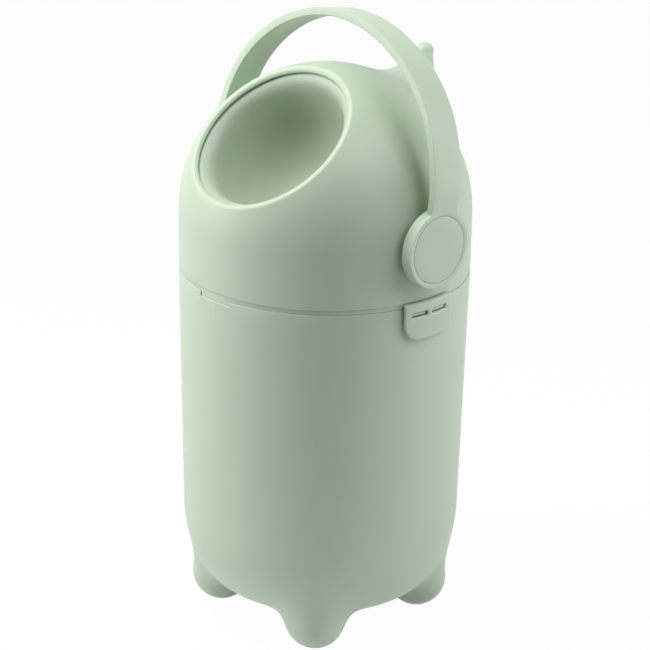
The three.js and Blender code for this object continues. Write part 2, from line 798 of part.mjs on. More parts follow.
// One of the screws that hold an axle's flange to the ball
function makeAxleScrew(angle, isLeft) {
  const [y, z] = axleScrewPlace(angle);
  const face = ballFlat + clearance + axleFlangeThickness;
  const body = smallScrew(face, 0).translate([0, y, pivotHeight + z]);
  return isLeft ? mirrored(body) : body;
}

// One of the screws that hold the halves of the ball together
function makeSeamScrew([y, z]) {
  const tip = seamBossLength - seamScrewLength;
  const seat = seamBossLength + clearance;
  const body = turnedAlongX([
    [0, tip], [smallScrewRadius, tip], [smallScrewRadius, seat], [smallScrewHead, seat],
    [smallScrewHead, seat + smallScrewRadius], [0, seat + smallScrewRadius]], screwSegments);
  return body.translate([0, y, z]);
}

// The plain bearing in the head's wall with the two stops of the handle's travel, on the +X side
function makeBush(isLeft) {
  const inner = ballFlat + clearance + axleFlangeThickness + bushRunningGap;
  const flangeOuter = inner + bushFlangeThickness;
  const outer = hubInner - bushRunningGap;
  let body = turnedAlongX([
    [bushBore, inner], [bushFlangeRadius, inner], [bushFlangeRadius, flangeOuter],
    [bushRadius, flangeOuter], [bushRadius, outer], [bushBore, outer]], hubSegments / 2);
  const halfTooth = (stopHalfWidth * 2 + stopGap) / stopInner;
  for (const turn of [toothAngle - halfTooth, toothAngle + flipTravel + halfTooth]) {
    const corner = [flangeOuter, stopOuter, stopHalfWidth];
    const arm = block([inner, bushRadius - clearance, -stopHalfWidth], corner);
    const stop = block([ballFlat + 2 * clearance, stopInner, -stopHalfWidth], corner);
    body = body.add(arm.add(stop).rotate([THREE.MathUtils.radToDeg(turn), 0, 0]));
  }
  body = body.translate([0, 0, pivotHeight]);
  return isLeft ? mirrored(body) : body;
}

// The arch's outer line in the handle's own plane, as reach and height, from hub to hub
function archPoint(share) {
  const turn = Math.PI * share;
  const half = turn > quarterTurn ? Math.PI - turn : turn;
  const last = archGrowthShares.length - 1;
  const spot = (half / quarterTurn) * last;
  const first = Math.min(Math.floor(spot), last - 1);
  const foot = hubFace - archInset;
  const at = (i) => foot + (archRise - foot) * archGrowthShares[i < 0 ? -i : Math.min(i, 2 * last - i)];
  const t = spot - first;
  const [a, b, c, d] = [at(first - 1), at(first), at(first + 1), at(first + 2)];
  const radius = b + 0.5 * t * (c - a + t * (2 * a - 5 * b + 4 * c - d + t * (3 * (b - c) + d - a)));
  return new THREE.Vector2(radius * Math.cos(turn), radius * Math.sin(turn));
}

// The handle's strap, swept from hub to hub with bevelled edges
function handleStrap() {
  const steps = 32;
  const rows = [];
  for (let i = 0; i <= steps; i++) {
    const share = strapStartShare + ((1 - 2 * strapStartShare) * i) / steps;
    const here = archPoint(share);
    const tangent = archPoint(share + tangentShare).sub(archPoint(share - tangentShare)).normalize();
    const inward = new THREE.Vector2(-tangent.y, tangent.x);
    const topShare = Math.sin(Math.PI * share);
    const front = -(strapWidthAtHub + (strapWidthAtTop - strapWidthAtHub) * topShare) / 2;
    const rear = -front + strapSwell * Math.abs(Math.sin(2 * Math.PI * share));
    const deep = strapThickness - strapEdge;
    const corners = [
      [front, strapEdge], [front, deep], [front + strapEdge, strapThickness],
      [rear - strapEdge, strapThickness], [rear, deep], [rear, strapEdge],
      [rear - strapEdge, 0], [front + strapEdge, 0]];
    const ring = corners.map(([across, depth]) => {
      const place = here.clone().addScaledVector(inward, depth);
      return new THREE.Vector3(place.x, across, place.y);
    });
    if (i === 0) rows.push([middleOf(ring)]);
    rows.push(ring);
    if (i === steps) rows.push([middleOf(ring)]);
  }
  return loft(rows.reverse());
}

function middleOf(ring) {
  const middle = new THREE.Vector3();
  for (const point of ring) middle.add(point);
  return middle.divideScalar(ring.length);
}

// One hub of the handle with the journal that turns in the bush, on the +X side
function hubBody() {
  const inner = ballFlat + clearance + axleFlangeThickness + bushRunningGap;
  const corner = quarterRoundShare * hubRound;
  return turnedAlongX([
    [0, inner], [journalRadius, inner], [journalRadius, hubInner], [hubRadius - hubRound, hubInner],
    [hubRadius, hubInner + hubRound], [hubRadius, hubFace - hubRound],
    [hubRadius - corner, hubFace - corner], [hubRadius - hubRound, hubFace], [0, hubFace]], hubSegments);
}

// What is cut out of a hub: the cap's seat, the screw's seat and hole, and the drive socket
function hubHoles() {
  const socketEnd = driveReach + clearance;
  const webOuter = socketEnd + webThickness;
  const half = driveHalf + clearance;
  return barAlongX(capRadius + capGap, capSeat - clearance, hubFace + overrun, hubSegments)
    .add(barAlongX(hubScrewHead + counterboreMargin, webOuter, hubFace, smallSegments))
    .add(barAlongX(hubScrewRadius + clearance, driveReach - overrun, hubFace))
    .add(block([0, -half, -half], [socketEnd, half, half]));
}

function makeHandle() {
  const hubs = hubBody().add(mirrored(hubBody()));
  const strap = handleStrap().rotate([THREE.MathUtils.radToDeg(-strapLean), 0, 0]);
  const holes = hubHoles().add(mirrored(hubHoles()));
  return hubs.add(strap).subtract(holes).translate([0, 0, pivotHeight]);
}

function makeHubScrew(isLeft) {
  const seat = driveReach + clearance + webThickness + clearance;
  const tip = driveReach - hubScrewLength + clearance;
  const top = seat + hubScrewHeadHeight;
  const upright = turnedAlongX([
    [0, tip], [hubScrewRadius, tip], [hubScrewRadius, seat],
    [hubScrewHead, seat], [hubScrewHead, top], [0, top]]);
  const body = upright.translate([0, 0, pivotHeight]);
  return isLeft ? mirrored(body) : body;
}

function makeHubCap(isLeft) {
  const disc = turnedAlongX([
    [0, capSeat], [capRadius, capSeat], [capRadius, hubFace - capEdge],
    [capRadius - capEdge, hubFace], [0, hubFace]], hubSegments);
  const body = disc.translate([0, 0, pivotHeight]);
  return isLeft ? mirrored(body) : body;
}

// The outline of a clip as seen from outside, with its front lower corner well rounded
function clipOutline() {
  const half = (clipInnerRadius + clipThickness) * Math.sin(clipHalfAngle);
  const outline = new THREE.Shape();
  outline.moveTo(-half, clipTop);
  outline.lineTo(-half, clipBottom + clipFrontRound);
  outline.absarc(
    -half + clipFrontRound, clipBottom + clipFrontRound, clipFrontRound, Math.PI, 3 * quarterTurn);
  outline.lineTo(half - clipBackRound, clipBottom);
  outline.absarc(half - clipBackRound, clipBottom + clipBackRound, clipBackRound, -quarterTurn, 0);
  outline.lineTo(half, clipTop);
  outline.closePath();
  return outline;
}

function makeClip(isLeft) {
  const depth = 2 * clipInnerRadius;
  const curveSegments = 5;
  const plate = new THREE.ExtrudeGeometry(clipOutline(), { depth, bevelEnabled: false, curveSegments });
  plate.rotateX(quarterTurn);
  plate.rotateZ(quarterTurn);
  const low = clipBottom - overrun;
  const high = headEdge + overrun;
  const outer = clipInnerRadius + clipThickness;
  const band = [[clipInnerRadius, low], [outer, low], [outer, high], [clipInnerRadius, high]];
  const pin = clipPinPlace();
  const knuckle = barAlongY(knuckleRadius, -knuckleHalfLength, knuckleHalfLength);
  let body = turned(band, 3 * hubSegments).intersect(solid(plate));
  body = body.add(knuckle.translate([pin.x, 0, pin.z]));
  for (const start of [-earStart - earWidth, earStart]) {
    const from = start - clearance;
    const to = start + earWidth + clearance;
    const room = barAlongY(knuckleRadius + clearance, from, to).translate([pin.x, 0, pin.z]);
    const pocket = block([0, from, pin.z - knuckleRadius - clearance], [pin.x, to, headEdge + overrun]);
    body = body.subtract(room).subtract(pocket);
  }
  const bore = barAlongY(pinRadius + clearance, -2 * knuckleHalfLength, 2 * knuckleHalfLength);
  body = body.subtract(bore.translate([pin.x, 0, pin.z]));
  const slotTop = slotBottom + slotHeight;
  body = body.subtract(block([0, slotStart, slotBottom], [depth, slotEnd, slotTop]));
  body = body.subtract(block([0, -slotEnd, slotBottom], [depth, -slotStart, slotTop]));
  return isLeft ? mirrored(body) : body;
}

function makeClipPin(isLeft) {
  const pin = clipPinPlace();
  const bar = barAlongY(pinRadius, -pinHalfLength, pinHalfLength, screwSegments);
  const body = bar.translate([pin.x, 0, pin.z]);
  return isLeft ? mirrored(body) : body;
}

const bin = new THREE.Group();

// Adds a piece to the bin under its name
function add(name, body, color, roughness = 0.45, metalness = 0) {
  const material = new THREE.MeshStandardMaterial({ color, roughness, metalness });
  const mesh = new THREE.Mesh(surface(body), material);
  mesh.name = name;
  bin.add(mesh);
}

add('bucket', makeBucket(), shellColour);
add('head_shell', makeHeadShell(), shellColour);
add('collar', makeCollar(), shellColour);
add('rim_gasket', makeRimGasket(), sealColour, 0.8);
add('bag_ring', makeBagRing(), innerColour);
add('mouth_seal', makeMouthSeal(), sealColour, 0.8);
add('handle', makeHandle(), shellColour);
add('cup', makeCup(), shellColour);
add('ball_shell_right', ballHalf(), shellColour);
add('ball_shell_left', mirrored(ballHalf()), shellColour);
seamScrewPlaces().forEach((place, i) => {
  add(`ball_screw_${i + 1}`, makeSeamScrew(place), steelColour, 0.3, 0.9);
});
for (const isLeft of [true, false]) {
  const side = isLeft ? 'left' : 'right';
  add(`axle_${side}`, makeAxle(isLeft), innerColour);
  add(`bush_${side}`, makeBush(isLeft), innerColour, 0.3);
  add(`hub_screw_${side}`, makeHubScrew(isLeft), steelColour, 0.3, 0.9);
  add(`hub_cap_${side}`, makeHubCap(isLeft), shellColour);
  add(`clip_${side}`, makeClip(isLeft), shellColour);
  add(`clip_pin_${side}`, makeClipPin(isLeft), steelColour, 0.3, 0.9);
  axleScrewTurns().forEach((angle, i) => {
    add(`axle_screw_${side}_${i + 1}`, makeAxleScrew(angle, isLeft), steelColour, 0.3, 0.9);
  });
}

export default bin;
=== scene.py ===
"""A nappy bin: a bucket on four moulded feet, a domed head with a horn at its back and a slanted
mouth, a cup in a ball that the carrying handle turns over, and two side clips.
Metres, +Z up, the mouth faces -Y, and the handle turns about an axis along X."""
from math import acos, atan2, cos, pi, radians, sin, sqrt

import bpy
import numpy as np
from mathutils import Matrix, Vector


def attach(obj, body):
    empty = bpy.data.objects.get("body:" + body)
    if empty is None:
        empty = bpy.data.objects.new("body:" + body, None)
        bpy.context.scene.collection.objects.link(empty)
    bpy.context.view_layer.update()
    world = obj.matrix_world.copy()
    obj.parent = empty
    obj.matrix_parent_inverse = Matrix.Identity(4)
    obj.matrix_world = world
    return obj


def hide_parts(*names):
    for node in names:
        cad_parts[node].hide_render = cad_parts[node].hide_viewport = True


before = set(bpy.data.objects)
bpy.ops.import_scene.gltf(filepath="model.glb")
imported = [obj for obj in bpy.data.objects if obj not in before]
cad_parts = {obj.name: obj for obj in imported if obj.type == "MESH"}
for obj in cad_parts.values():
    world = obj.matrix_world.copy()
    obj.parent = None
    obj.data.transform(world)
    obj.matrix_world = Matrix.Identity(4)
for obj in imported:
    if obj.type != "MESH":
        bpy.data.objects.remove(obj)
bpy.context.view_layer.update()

mm = 0.001

# Bucket
body_radius = 130 * mm
wall = 3 * mm
draft_share = 0.0171
rim_height = 334.2 * mm
belly_height = 31.3 * mm
belly_round_height = 73.5 * mm
belly_round_width = 39.7 * mm
rim_round = 0.8 * mm
notch_half_width = 19.2 * mm
notch_depth = 4.2 * mm
notch_flare = 0.8 * mm
bucket_columns = 288
# How far the bucket's columns of points crowd towards the feet
bucket_crowding = 0.3
# Spans of downward tilt under the bucket, as degrees from, degrees to and a count of rings
underside_spans = ((-89.9, -68, 12), (-68, -36, 46), (-36, -9, 12))
held_rings = 6
underside_rounds = 12
side_rings = 14

# Feet, one at each diagonal
foot_count = 4
foot_tip_radius = 27.4 * mm
foot_tip_reach = body_radius - 39.1 * mm
foot_root_radius = 26.8 * mm
foot_root_reach = body_radius - 46.9 * mm
foot_root_height = 72 * mm
foot_blend = 18.8 * mm
sole_cut = 1.2 * mm

# Head
seam_gap = 4.4 * mm
head_edge = rim_height + seam_gap
pivot_height = head_edge + 47.4 * mm
pivot = Vector((0, 0, pivot_height))
head_inner_radius = body_radius - wall
mouth_tilt = radians(39.5)
mouth_axis = Vector((0, -sin(mouth_tilt), cos(mouth_tilt)))
mouth_back = Vector((0, cos(mouth_tilt), sin(mouth_tilt)))
mouth_radius = 72 * mm
mouth_round = 4.8 * mm
mouth_round_reach = 4.4 * mm
mouth_wall = 2.2 * mm
head_edge_round = 0.35 * mm
axle_hole_radius = 14.9 * mm
horn_tip_radius = 6.7 * mm
horn_tip_reach = body_radius + 41.9 * mm
horn_tip_lean = radians(44)
horn_root_radius = 17.3 * mm
horn_root_reach = body_radius - 9.2 * mm
horn_root_lean = radians(55.2)
horn_blend = 57.8 * mm
horn_foot_back = 73 * mm
# Points that rise this far over the plain dome are evened out
horn_least_rise = 0.05 * mm
head_columns = 288
head_ring_count = 150
# How far the head's columns and rings crowd towards the horn, and the ring that it is on
head_crowding = 0.8
horn_share = 0.49
horn_rounds = 24

# Ball and cup
ball_radius = head_inner_radius - 3 * mm
ball_wall = 3.2 * mm
ball_flat = ball_radius - 7 * mm
ball_seam = 0.3 * mm
mouth_gap = 0.4 * mm
cup_rim_radius = mouth_radius + 4.5 * mm
cup_neck_radius = cup_rim_radius - 3.3 * mm
cup_bowl_radius = cup_neck_radius - 10.6 * mm
cup_wall = 2.6 * mm
cup_crest_radius = mouth_radius + 2 * mm
cup_lip_depth = 20.4 * mm
cup_lip_turn = 2.8 * mm
cup_lip_drop = 3.6 * mm
cup_lip_round = 1.2 * mm
flange_radius = cup_neck_radius + 7.3 * mm
flange_thickness = 2.3 * mm
flange_room = 1 * mm
lip_thickness = 1.4 * mm
tongue_thickness = 1.5 * mm
ball_mouth_start = 40 * mm
clearance = 0.3 * mm
far_reach = 1.2 * body_radius

# Handle
hub_radius = 34.2 * mm
hub_inner = body_radius + 1.7 * mm
hub_face = hub_inner + 10.5 * mm
hub_round = 0.3 * mm
hub_edge = 0.3 * mm
cap_radius = hub_radius - 4.6 * mm
cap_gap = 0.3 * mm
cap_thickness = 3.3 * mm
cap_round = 0.2 * mm
cap_ring_shares = (0.66, 0.33)
counterbore_radius = 8 * mm
screw_hole_radius = 2.6 * mm
screw_hole_depth = 8 * mm
web_outer = 136.6 * mm
socket_half = 6.3 * mm
socket_end = 134.3 * mm
journal_radius = 10.6 * mm
journal_start = 120.8 * mm
strap_width_at_hub = 30.2 * mm
strap_width_at_top = 28.5 * mm
strap_thickness = 6.9 * mm
strap_front_round = 0.3 * mm
strap_rear_round = 1 * mm
strap_swell = 2.9 * mm
strap_start = 30.35 * mm
strap_lean = radians(8.6)
arch_foot = hub_face - 0.9 * mm
arch_rise = 177.9 * mm
arch_face_gap = 0.01 * mm
arch_growth_shares = (0, 0.298, 0.675, 0.902, 1)

# Collar, rings and seals
collar_radius = body_radius - 0.9 * mm
collar_skirt_radius = head_inner_radius - 1.4 * mm
collar_bore = collar_skirt_radius - 3 * mm
collar_skirt_depth = 18 * mm
collar_spigot_height = 10 * mm
collar_edge_round = 0.2 * mm
rim_gap = 0.1 * mm
snap_bead = 1 * mm
key_radius = collar_radius
key_round = 0.15 * mm
gasket_height = 4 * mm
gasket_depth = 1.7 * mm
gasket_below_rim = 8 * mm
gasket_gap = 2.2 * clearance
bag_ring_top = rim_height - 28.2 * mm
bag_ring_width = 14 * mm
bag_ring_height = 6 * mm
bag_ring_bead = 2 * mm
bead_corner_share = 0.3
ledge_reach = 8 * mm
ledge_height = 7 * mm
ledge_half_width = 9 * mm
ledge_bevel = 0.6 * mm
seal_width = 6 * mm
seal_thickness = 1.3 * mm
seal_room = 1 * mm
seal_steps = 6

# Side clips
clip_inner_radius = body_radius + 1 * mm
clip_thickness = 3.4 * mm
clip_half_angle = radians(12)
clip_top = head_edge - clearance
clip_bottom = clip_top - 34.2 * mm
clip_front_round = 18 * mm
clip_back_round = 3 * mm
clip_edge_round = 1.6 * mm
clip_top_round = 2.2 * mm
clip_top_edge_round = 3 * mm
slot_bottom = rim_height - 8.5 * mm
slot_height = 3.7 * mm
slot_round = 0.7 * mm
slot_start = 2.6 * mm
slot_end = 20.5 * mm
slot_spans = ((-slot_end, -slot_start), (slot_start, slot_end))
lug_radius = 133.2 * mm
lug_bottom = slot_bottom + 1.4 * mm
lug_thickness = 1.8 * mm
lug_front_gap = 0.8 * mm
lug_back_gap = 2.4 * mm
lug_round = 0.35 * mm
knuckle_radius = 1.7 * mm
knuckle_half_length = 20 * mm
pin_reach = body_radius + 0.9 * mm
pin_height = rim_height + seam_gap / 2
ear_start = 10 * mm
ear_width = 4 * mm
ear_starts = (-ear_start - ear_width, ear_start)
ear_pocket_start = 0.9 * pin_reach
clip_cutter_angle = 1.2 * clip_half_angle
clip_bend_steps = 44

# Camera and lamps, with turns and rises in degrees about the bin
camera_turn = 46.897
camera_rise = 21.496
camera_roll = 1.007
camera_distance = 2.2908
camera_aim_height = 275 * mm
camera_aim_shift = 1.43 * mm
camera_lens = 140.7
camera_sensor = 36
camera_reach = 20
lamp_front_turn = 46.9
lamp_aim_height = 300 * mm
# Name, turn from the camera, rise, distance, width, height and power of each lamp
softboxes = (
    ("high left softbox", -90, 61, 1.6, 0.9, 0.9, 25),
    ("left strip softbox", -87, 11, 1.6, 0.5, 1.6, 16.5),
    ("high right softbox", 62, 50, 2.0, 1.2, 1.2, 17),
    ("right strip softbox", 91, 11, 1.6, 0.5, 1.6, 12.5))
ambient_strength = 0.004
floor_size = 12
floor_tone = 0.85
floor_roughness = 0.9
floor_white_share = 0.965


def select_only(piece):
    bpy.ops.object.select_all(action="DESELECT")
    piece.select_set(True)
    bpy.context.view_layer.objects.active = piece


def edit(piece, action="DESELECT"):
    """Goes into edit mode on one piece, with nothing or all of it selected."""
    select_only(piece)
    bpy.ops.object.mode_set(mode="EDIT")
    bpy.ops.mesh.select_mode(type="VERT")
    bpy.ops.mesh.select_all(action=action)


def leave_edit():
    bpy.ops.object.mode_set(mode="OBJECT")


def settle_place(piece):
    """Moves a piece's place, turn and scale into its mesh."""
    select_only(piece)
    bpy.ops.object.transform_apply(location=True, rotation=True, scale=True)
    return piece


def clean(piece, merge=0.002 * mm):
    """Merges doubled vertices and turns the faces outwards."""
    edit(piece, "SELECT")
    bpy.ops.mesh.remove_doubles(threshold=merge)
    bpy.ops.mesh.normals_make_consistent(inside=False)
    leave_edit()
    return piece


def smooth(piece, angle=radians(32)):
    select_only(piece)
    bpy.ops.object.shade_smooth_by_angle(angle=angle)


def apply_modifiers(piece):
    select_only(piece)
    for modifier in list(piece.modifiers):
        bpy.ops.object.modifier_apply(modifier=modifier.name)
    return piece


def combine(piece, tool, operation):
    """Cuts, joins or trims a piece with another one, which is used up."""
    modifier = piece.modifiers.new("combine", "BOOLEAN")
    modifier.operation = operation
    modifier.solver = "EXACT"
    modifier.object = tool
    apply_modifiers(piece)
    bpy.data.objects.remove(tool)
    return piece


def mesh_piece(name, points, faces=(), edges=()):
    mesh = bpy.data.meshes.new(name)
    mesh.from_pydata([tuple(point) for point in points], edges, faces)
    piece = bpy.data.objects.new(name, mesh)
    bpy.context.scene.collection.objects.link(piece)
    return piece


def skin_piece(name, rows, closed=True):
    """A piece through rings of points: the last ring joins the first, or both ends are capped."""
    count = len(rows[0])
    points = [point for row in rows for point in row]
    faces = []
    last = len(rows) if closed else len(rows) - 1
    for i in range(last):
        low = i * count
        high = ((i + 1) % len(rows)) * count
        for j in range(count):
            step = (j + 1) % count
            faces.append((low + j, low + step, high + step, high + j))
    if not closed:
        faces.append(tuple(range(count)))
        faces.append(tuple(reversed(range(last * count, (last + 1) * count))))
    return clean(mesh_piece(name, points, faces))


def spun_piece(name, profile, place, outward, axis, steps):
    """Spins a profile of (reach, level) pairs about an axis through a place."""
    points = [place + outward * reach + axis * level for reach, level in profile]
    pairs = [(i, i + 1) for i in range(len(points) - 1)]
    starts_on_axis = profile[0][0] == 0
    if not starts_on_axis:
        pairs.append((len(points) - 1, 0))
    piece = mesh_piece(name, points, edges=pairs)
    edit(piece, "SELECT")
    bpy.ops.mesh.spin(steps=steps, angle=2 * pi, center=place, axis=axis)
    leave_edit()
    return clean(piece)


def turned_up(name, profile, steps=256):
    return spun_piece(name, profile, Vector((0, 0, 0)), Vector((1, 0, 0)), Vector((0, 0, 1)), steps)


def turned_at_mouth(name, profile, steps=224):
    return spun_piece(name, profile, pivot, mouth_back, mouth_axis, steps)


def turned_across(name, profile, steps=128):
    return spun_piece(name, profile, pivot, Vector((0, 1, 0)), Vector((1, 0, 0)), steps)


def block(name, low, high):
    """A box between two corners."""
    bpy.ops.object.select_all(action="DESELECT")
    middle = [(a + b) / 2 for a, b in zip(low, high)]
    size = [b - a for a, b in zip(low, high)]
    bpy.ops.mesh.primitive_cube_add(size=1, location=middle, scale=size)
    piece = bpy.context.object
    piece.name = name
    return settle_place(piece)


def rod(name, radius, start, end, vertices=32):
    """A round bar between two points."""
    bpy.ops.object.select_all(action="DESELECT")
    start = Vector(start)
    end = Vector(end)
    turn = (end - start).to_track_quat("Z", "Y").to_euler()
    bpy.ops.mesh.primitive_cylinder_add(
        vertices=vertices, radius=radius, depth=(end - start).length,
        location=(start + end) / 2, rotation=turn)
    piece = bpy.context.object
    piece.name = name
    return settle_place(piece)


def mirrored_copy(piece, name):
    """The mirror of a piece on the other side of the middle plane, with its own mesh."""
    copy = piece.copy()
    copy.data = piece.data.copy()
    copy.name = name
    copy.data.name = name
    bpy.context.scene.collection.objects.link(copy)
    copy.scale.x = -1
    settle_place(copy)
    edit(copy, "SELECT")
    bpy.ops.mesh.normals_make_consistent(inside=False)
    leave_edit()
    return copy


def arc_points(centre, radius, start, end, steps):
    """Points on an arc about a centre, from one turn to another."""
    arc = []
    for i in range(steps + 1):
        turn = start + (end - start) * i / steps
        arc.append((centre[0] + radius * cos(turn), centre[1] + radius * sin(turn)))
    return arc


def curve_between(start, leaving, arriving, end, steps):
    """Points on the curve from a start to an end, drawn by its two handles."""
    curve = []
    for i in range(steps + 1):
        share = i / steps
        rest = 1 - share
        weights = (rest ** 3, 3 * rest ** 2 * share, 3 * rest * share ** 2, share ** 3)
        handles = tuple(zip(weights, (start, leaving, arriving, end)))
        curve.append(tuple(sum(weight * point[axis] for weight, point in handles) for axis in (0, 1)))
    return curve


def smooth_union(first, second, width):
    """The smooth union of two distances."""
    share = np.clip(0.5 + 0.5 * (second - first) / width, 0, 1)
    return second * (1 - share) + first * share - width * share * (1 - share)


def taper_distance(points, tip, root, tip_radius, root_radius):
    """Distance to the round-ended taper between two balls."""
    axis = root - tip
    reach = np.linalg.norm(axis)
    offset = points - tip
    along = offset @ axis / reach
    across = np.sqrt(np.maximum((offset ** 2).sum(-1) - along ** 2, 0))
    slope = (tip_radius - root_radius) / reach
    foot = np.clip((along + across * slope / sqrt(1 - slope * slope)) / reach, 0, 1)
    radius = tip_radius + (root_radius - tip_radius) * foot
    return np.hypot(along - foot * reach, across) - radius


def bucket_field(points):
    """Distance to the outside of the bucket with its feet."""
    radius = np.hypot(points[..., 0], points[..., 1])
    height = points[..., 2]
    edge = body_radius - draft_share * (rim_height - height)
    across = (radius - (edge - belly_round_width)) / belly_round_width
    down = (belly_height + belly_round_height - height) / belly_round_height
    plain = np.maximum(radius - edge, belly_height - height)
    size = np.maximum(np.hypot(across, down), 1e-6)
    slope = np.maximum(np.hypot(across / belly_round_width, down / belly_round_height), 1e-6)
    distance = np.where((across > 0) & (down > 0), (size - 1) * size / slope, plain)
    sector = 2 * pi / foot_count
    turn = np.arctan2(points[..., 1], points[..., 0]) - sector / 2
    offset = turn - np.round(turn / sector) * sector
    folded = np.stack([radius * np.cos(offset), radius * np.sin(offset), height], -1)
    tip = np.array([foot_tip_reach, 0, foot_tip_radius - sole_cut])
    root = np.array([foot_root_reach, 0, foot_root_height])
    feet = taper_distance(folded, tip, root, foot_tip_radius, foot_root_radius)
    return smooth_union(distance, feet, foot_blend)


def dome_field(points):
    """Distance to the outside of the dome with its horn, about the pivot."""
    reach = np.hypot(points[..., 0], points[..., 1])
    above = np.linalg.norm(points, axis=-1)
    dome = np.where(points[..., 2] > 0, above, reach) - body_radius
    tip = horn_tip_reach * np.array([0, sin(horn_tip_lean), cos(horn_tip_lean)])
    root = horn_root_reach * np.array([0, sin(horn_root_lean), cos(horn_root_lean)])
    horn = taper_distance(points, tip, root, horn_tip_radius, horn_root_radius)
    return smooth_union(dome, horn, horn_blend)


def reach_along(origin, directions, field):
    """The points at which rays from an origin leave a distance field."""
    near = np.zeros(directions.shape[:-1])
    far = np.full(directions.shape[:-1], 2 * body_radius)
    halvings = 34
    for _ in range(halvings):
        middle = (near + far) / 2
        inside = field(origin + directions * middle[..., None]) < 0
        near = np.where(inside, middle, near)
        far = np.where(inside, far, middle)
    return origin + directions * near[..., None]


def field_slope(points, field):
    """The outward slope of a distance field at points."""
    step = 0.02 * mm
    slope = np.zeros_like(points)
    for axis in range(3):
        shift = np.zeros(3)
        shift[axis] = step
        slope[..., axis] = (field(points + shift) - field(points - shift)) / (2 * step)
    return slope


def relax(points, field, free, rounds):
    """Evens out the rings of a skin where it is free to move, and keeps it on its field."""
    for _ in range(rounds):
        along = (np.roll(points, 1, axis=1) + np.roll(points, -1, axis=1)) / 2
        up = points.copy()
        up[1:-1] = (points[:-2] + points[2:]) / 2
        points = np.where(free[..., None], points / 2 + along / 4 + up / 4, points)
        slope = field_slope(points, field)
        square = np.maximum((slope ** 2).sum(-1), 1e-9)
        drop = (field(points) / square)[..., None] * slope
        points = np.where(free[..., None], points - drop, points)
    return points


def inner_skin(points, field, thickness):
    """The points of a skin moved inwards by a wall's thickness."""
    slope = field_slope(points, field)
    return points - thickness * slope / np.linalg.norm(slope, axis=-1, keepdims=True)


def ring_at(radius, height, turns):
    """A level ring of points about Z."""
    return np.stack([radius * np.cos(turns), radius * np.sin(turns), np.full_like(turns, height)], -1)


def make_bucket():
    """The bucket: belly, feet and wall as one skin, with a rounded rim, lugs, ledges and a notch.

    The inside has every second ring of the outside.
    """
    turns = np.linspace(0, 2 * pi, bucket_columns, endpoint=False)
    turns = turns + bucket_crowding * np.sin(foot_count * turns) / foot_count
    centre = np.array([0, 0, belly_height + belly_round_height + 2 * foot_blend])
    tilts = np.concatenate([
        np.linspace(low, high, count, endpoint=False) for low, high, count in underside_spans])
    tilt, turn = np.meshgrid(np.radians(tilts), turns, indexing="ij")
    directions = np.stack([np.cos(tilt) * np.cos(turn), np.cos(tilt) * np.sin(turn), np.sin(tilt)], -1)
    belly = reach_along(centre, directions, bucket_field)
    free = np.ones(belly.shape[:2], bool)
    free[:held_rings] = False
    free[-held_rings:] = False
    belly = relax(belly, bucket_field, free, underside_rounds)
    inside = inner_skin(belly, bucket_field, wall)[::-2]
    belly[..., 2] = np.maximum(belly[..., 2], 0)
    top = rim_height - rim_round
    heights = np.linspace(belly[-1, 0, 2], top, side_rings)[1:]
    side = [
        ring_at(body_radius - draft_share * (rim_height - height), height, turns) for height in heights]
    outer_arc = arc_points((body_radius - rim_round, top), rim_round, 0, pi / 2, steps=4)
    inner_arc = arc_points((head_inner_radius + rim_round, top), rim_round, pi / 2, pi, steps=4)
    rim = [ring_at(reach, level, turns) for reach, level in outer_arc[1:] + inner_arc]
    bore = [ring + (ring * [1, 1, 0]) * (-wall / body_radius) for ring in side[-2::-2]]
    rows = list(belly) + side + rim + bore + list(inside)
    bucket = skin_piece("bucket_shell", rows, closed=False)
    for name, low, high in ledge_blocks():
        combine(bucket, ledge(name, low, high), "UNION")
    for start, end in slot_spans:
        lug = clip_lug(start + lug_front_gap, end - lug_back_gap)
        combine(bucket, mirrored_copy(lug, "clip_lug_left"), "UNION")
        combine(bucket, lug, "UNION")
    return combine(bucket, notch_cutter(), "DIFFERENCE")


def notch_cutter():
    """The notch in the bucket's rim, with its lower edge flared outwards."""
    low = rim_height - notch_depth
    high = rim_height + wall
    near = head_inner_radius - wall
    edge = body_radius - notch_flare
    far = body_radius + wall
    half = notch_half_width / body_radius
    profile = [(near, low), (edge, low), (far, low - (far - edge)), (far, high), (near, high)]
    return curved_bar("notch", profile, -pi / 2 - half, -pi / 2 + half)


def ledge_blocks():
    """The name and the low and high corners of each of the bag ring's four ledges."""
    top = bag_ring_top - bag_ring_height - clearance
    reach = body_radius - draft_share * (rim_height - top) - wall / 2
    low = top - ledge_height
    near = reach - ledge_reach
    half = ledge_half_width
    return (
        ("ledge_left", (-reach, -half, low), (-near, half, top)),
        ("ledge_right", (near, -half, low), (reach, half, top)),
        ("ledge_front", (-half, -reach, low), (half, -near, top)),
        ("ledge_back", (-half, near, low), (half, reach, top)))


def ledge(name, low, high):
    """One ledge with bevelled edges."""
    piece = block(name, low, high)
    edit(piece, "SELECT")
    bpy.ops.mesh.bevel(offset=ledge_bevel, segments=2)
    leave_edit()
    return piece


def curved_bar(name, profile, first, last):
    """A bar that follows a profile of (reach, level) pairs from one turn about Z to another."""
    steps = 16
    rows = []
    for i in range(steps + 1):
        turn = first + (last - first) * i / steps
        rows.append([(reach * cos(turn), reach * sin(turn), level) for reach, level in profile])
    return skin_piece(name, rows, closed=False)


def clip_lug(start, end):
    """One curved lug on the bucket's wall that the +X clip's slot drops over."""
    root = body_radius - wall / 2
    face = lug_radius - lug_round
    top = lug_bottom + lug_thickness
    profile = [
        (root, lug_bottom), (face, lug_bottom), (lug_radius, lug_bottom + lug_round),
        (lug_radius, top - lug_round), (face, top), (root, top)]
    return curved_bar("clip_lug", profile, start / clip_inner_radius, end / clip_inner_radius)


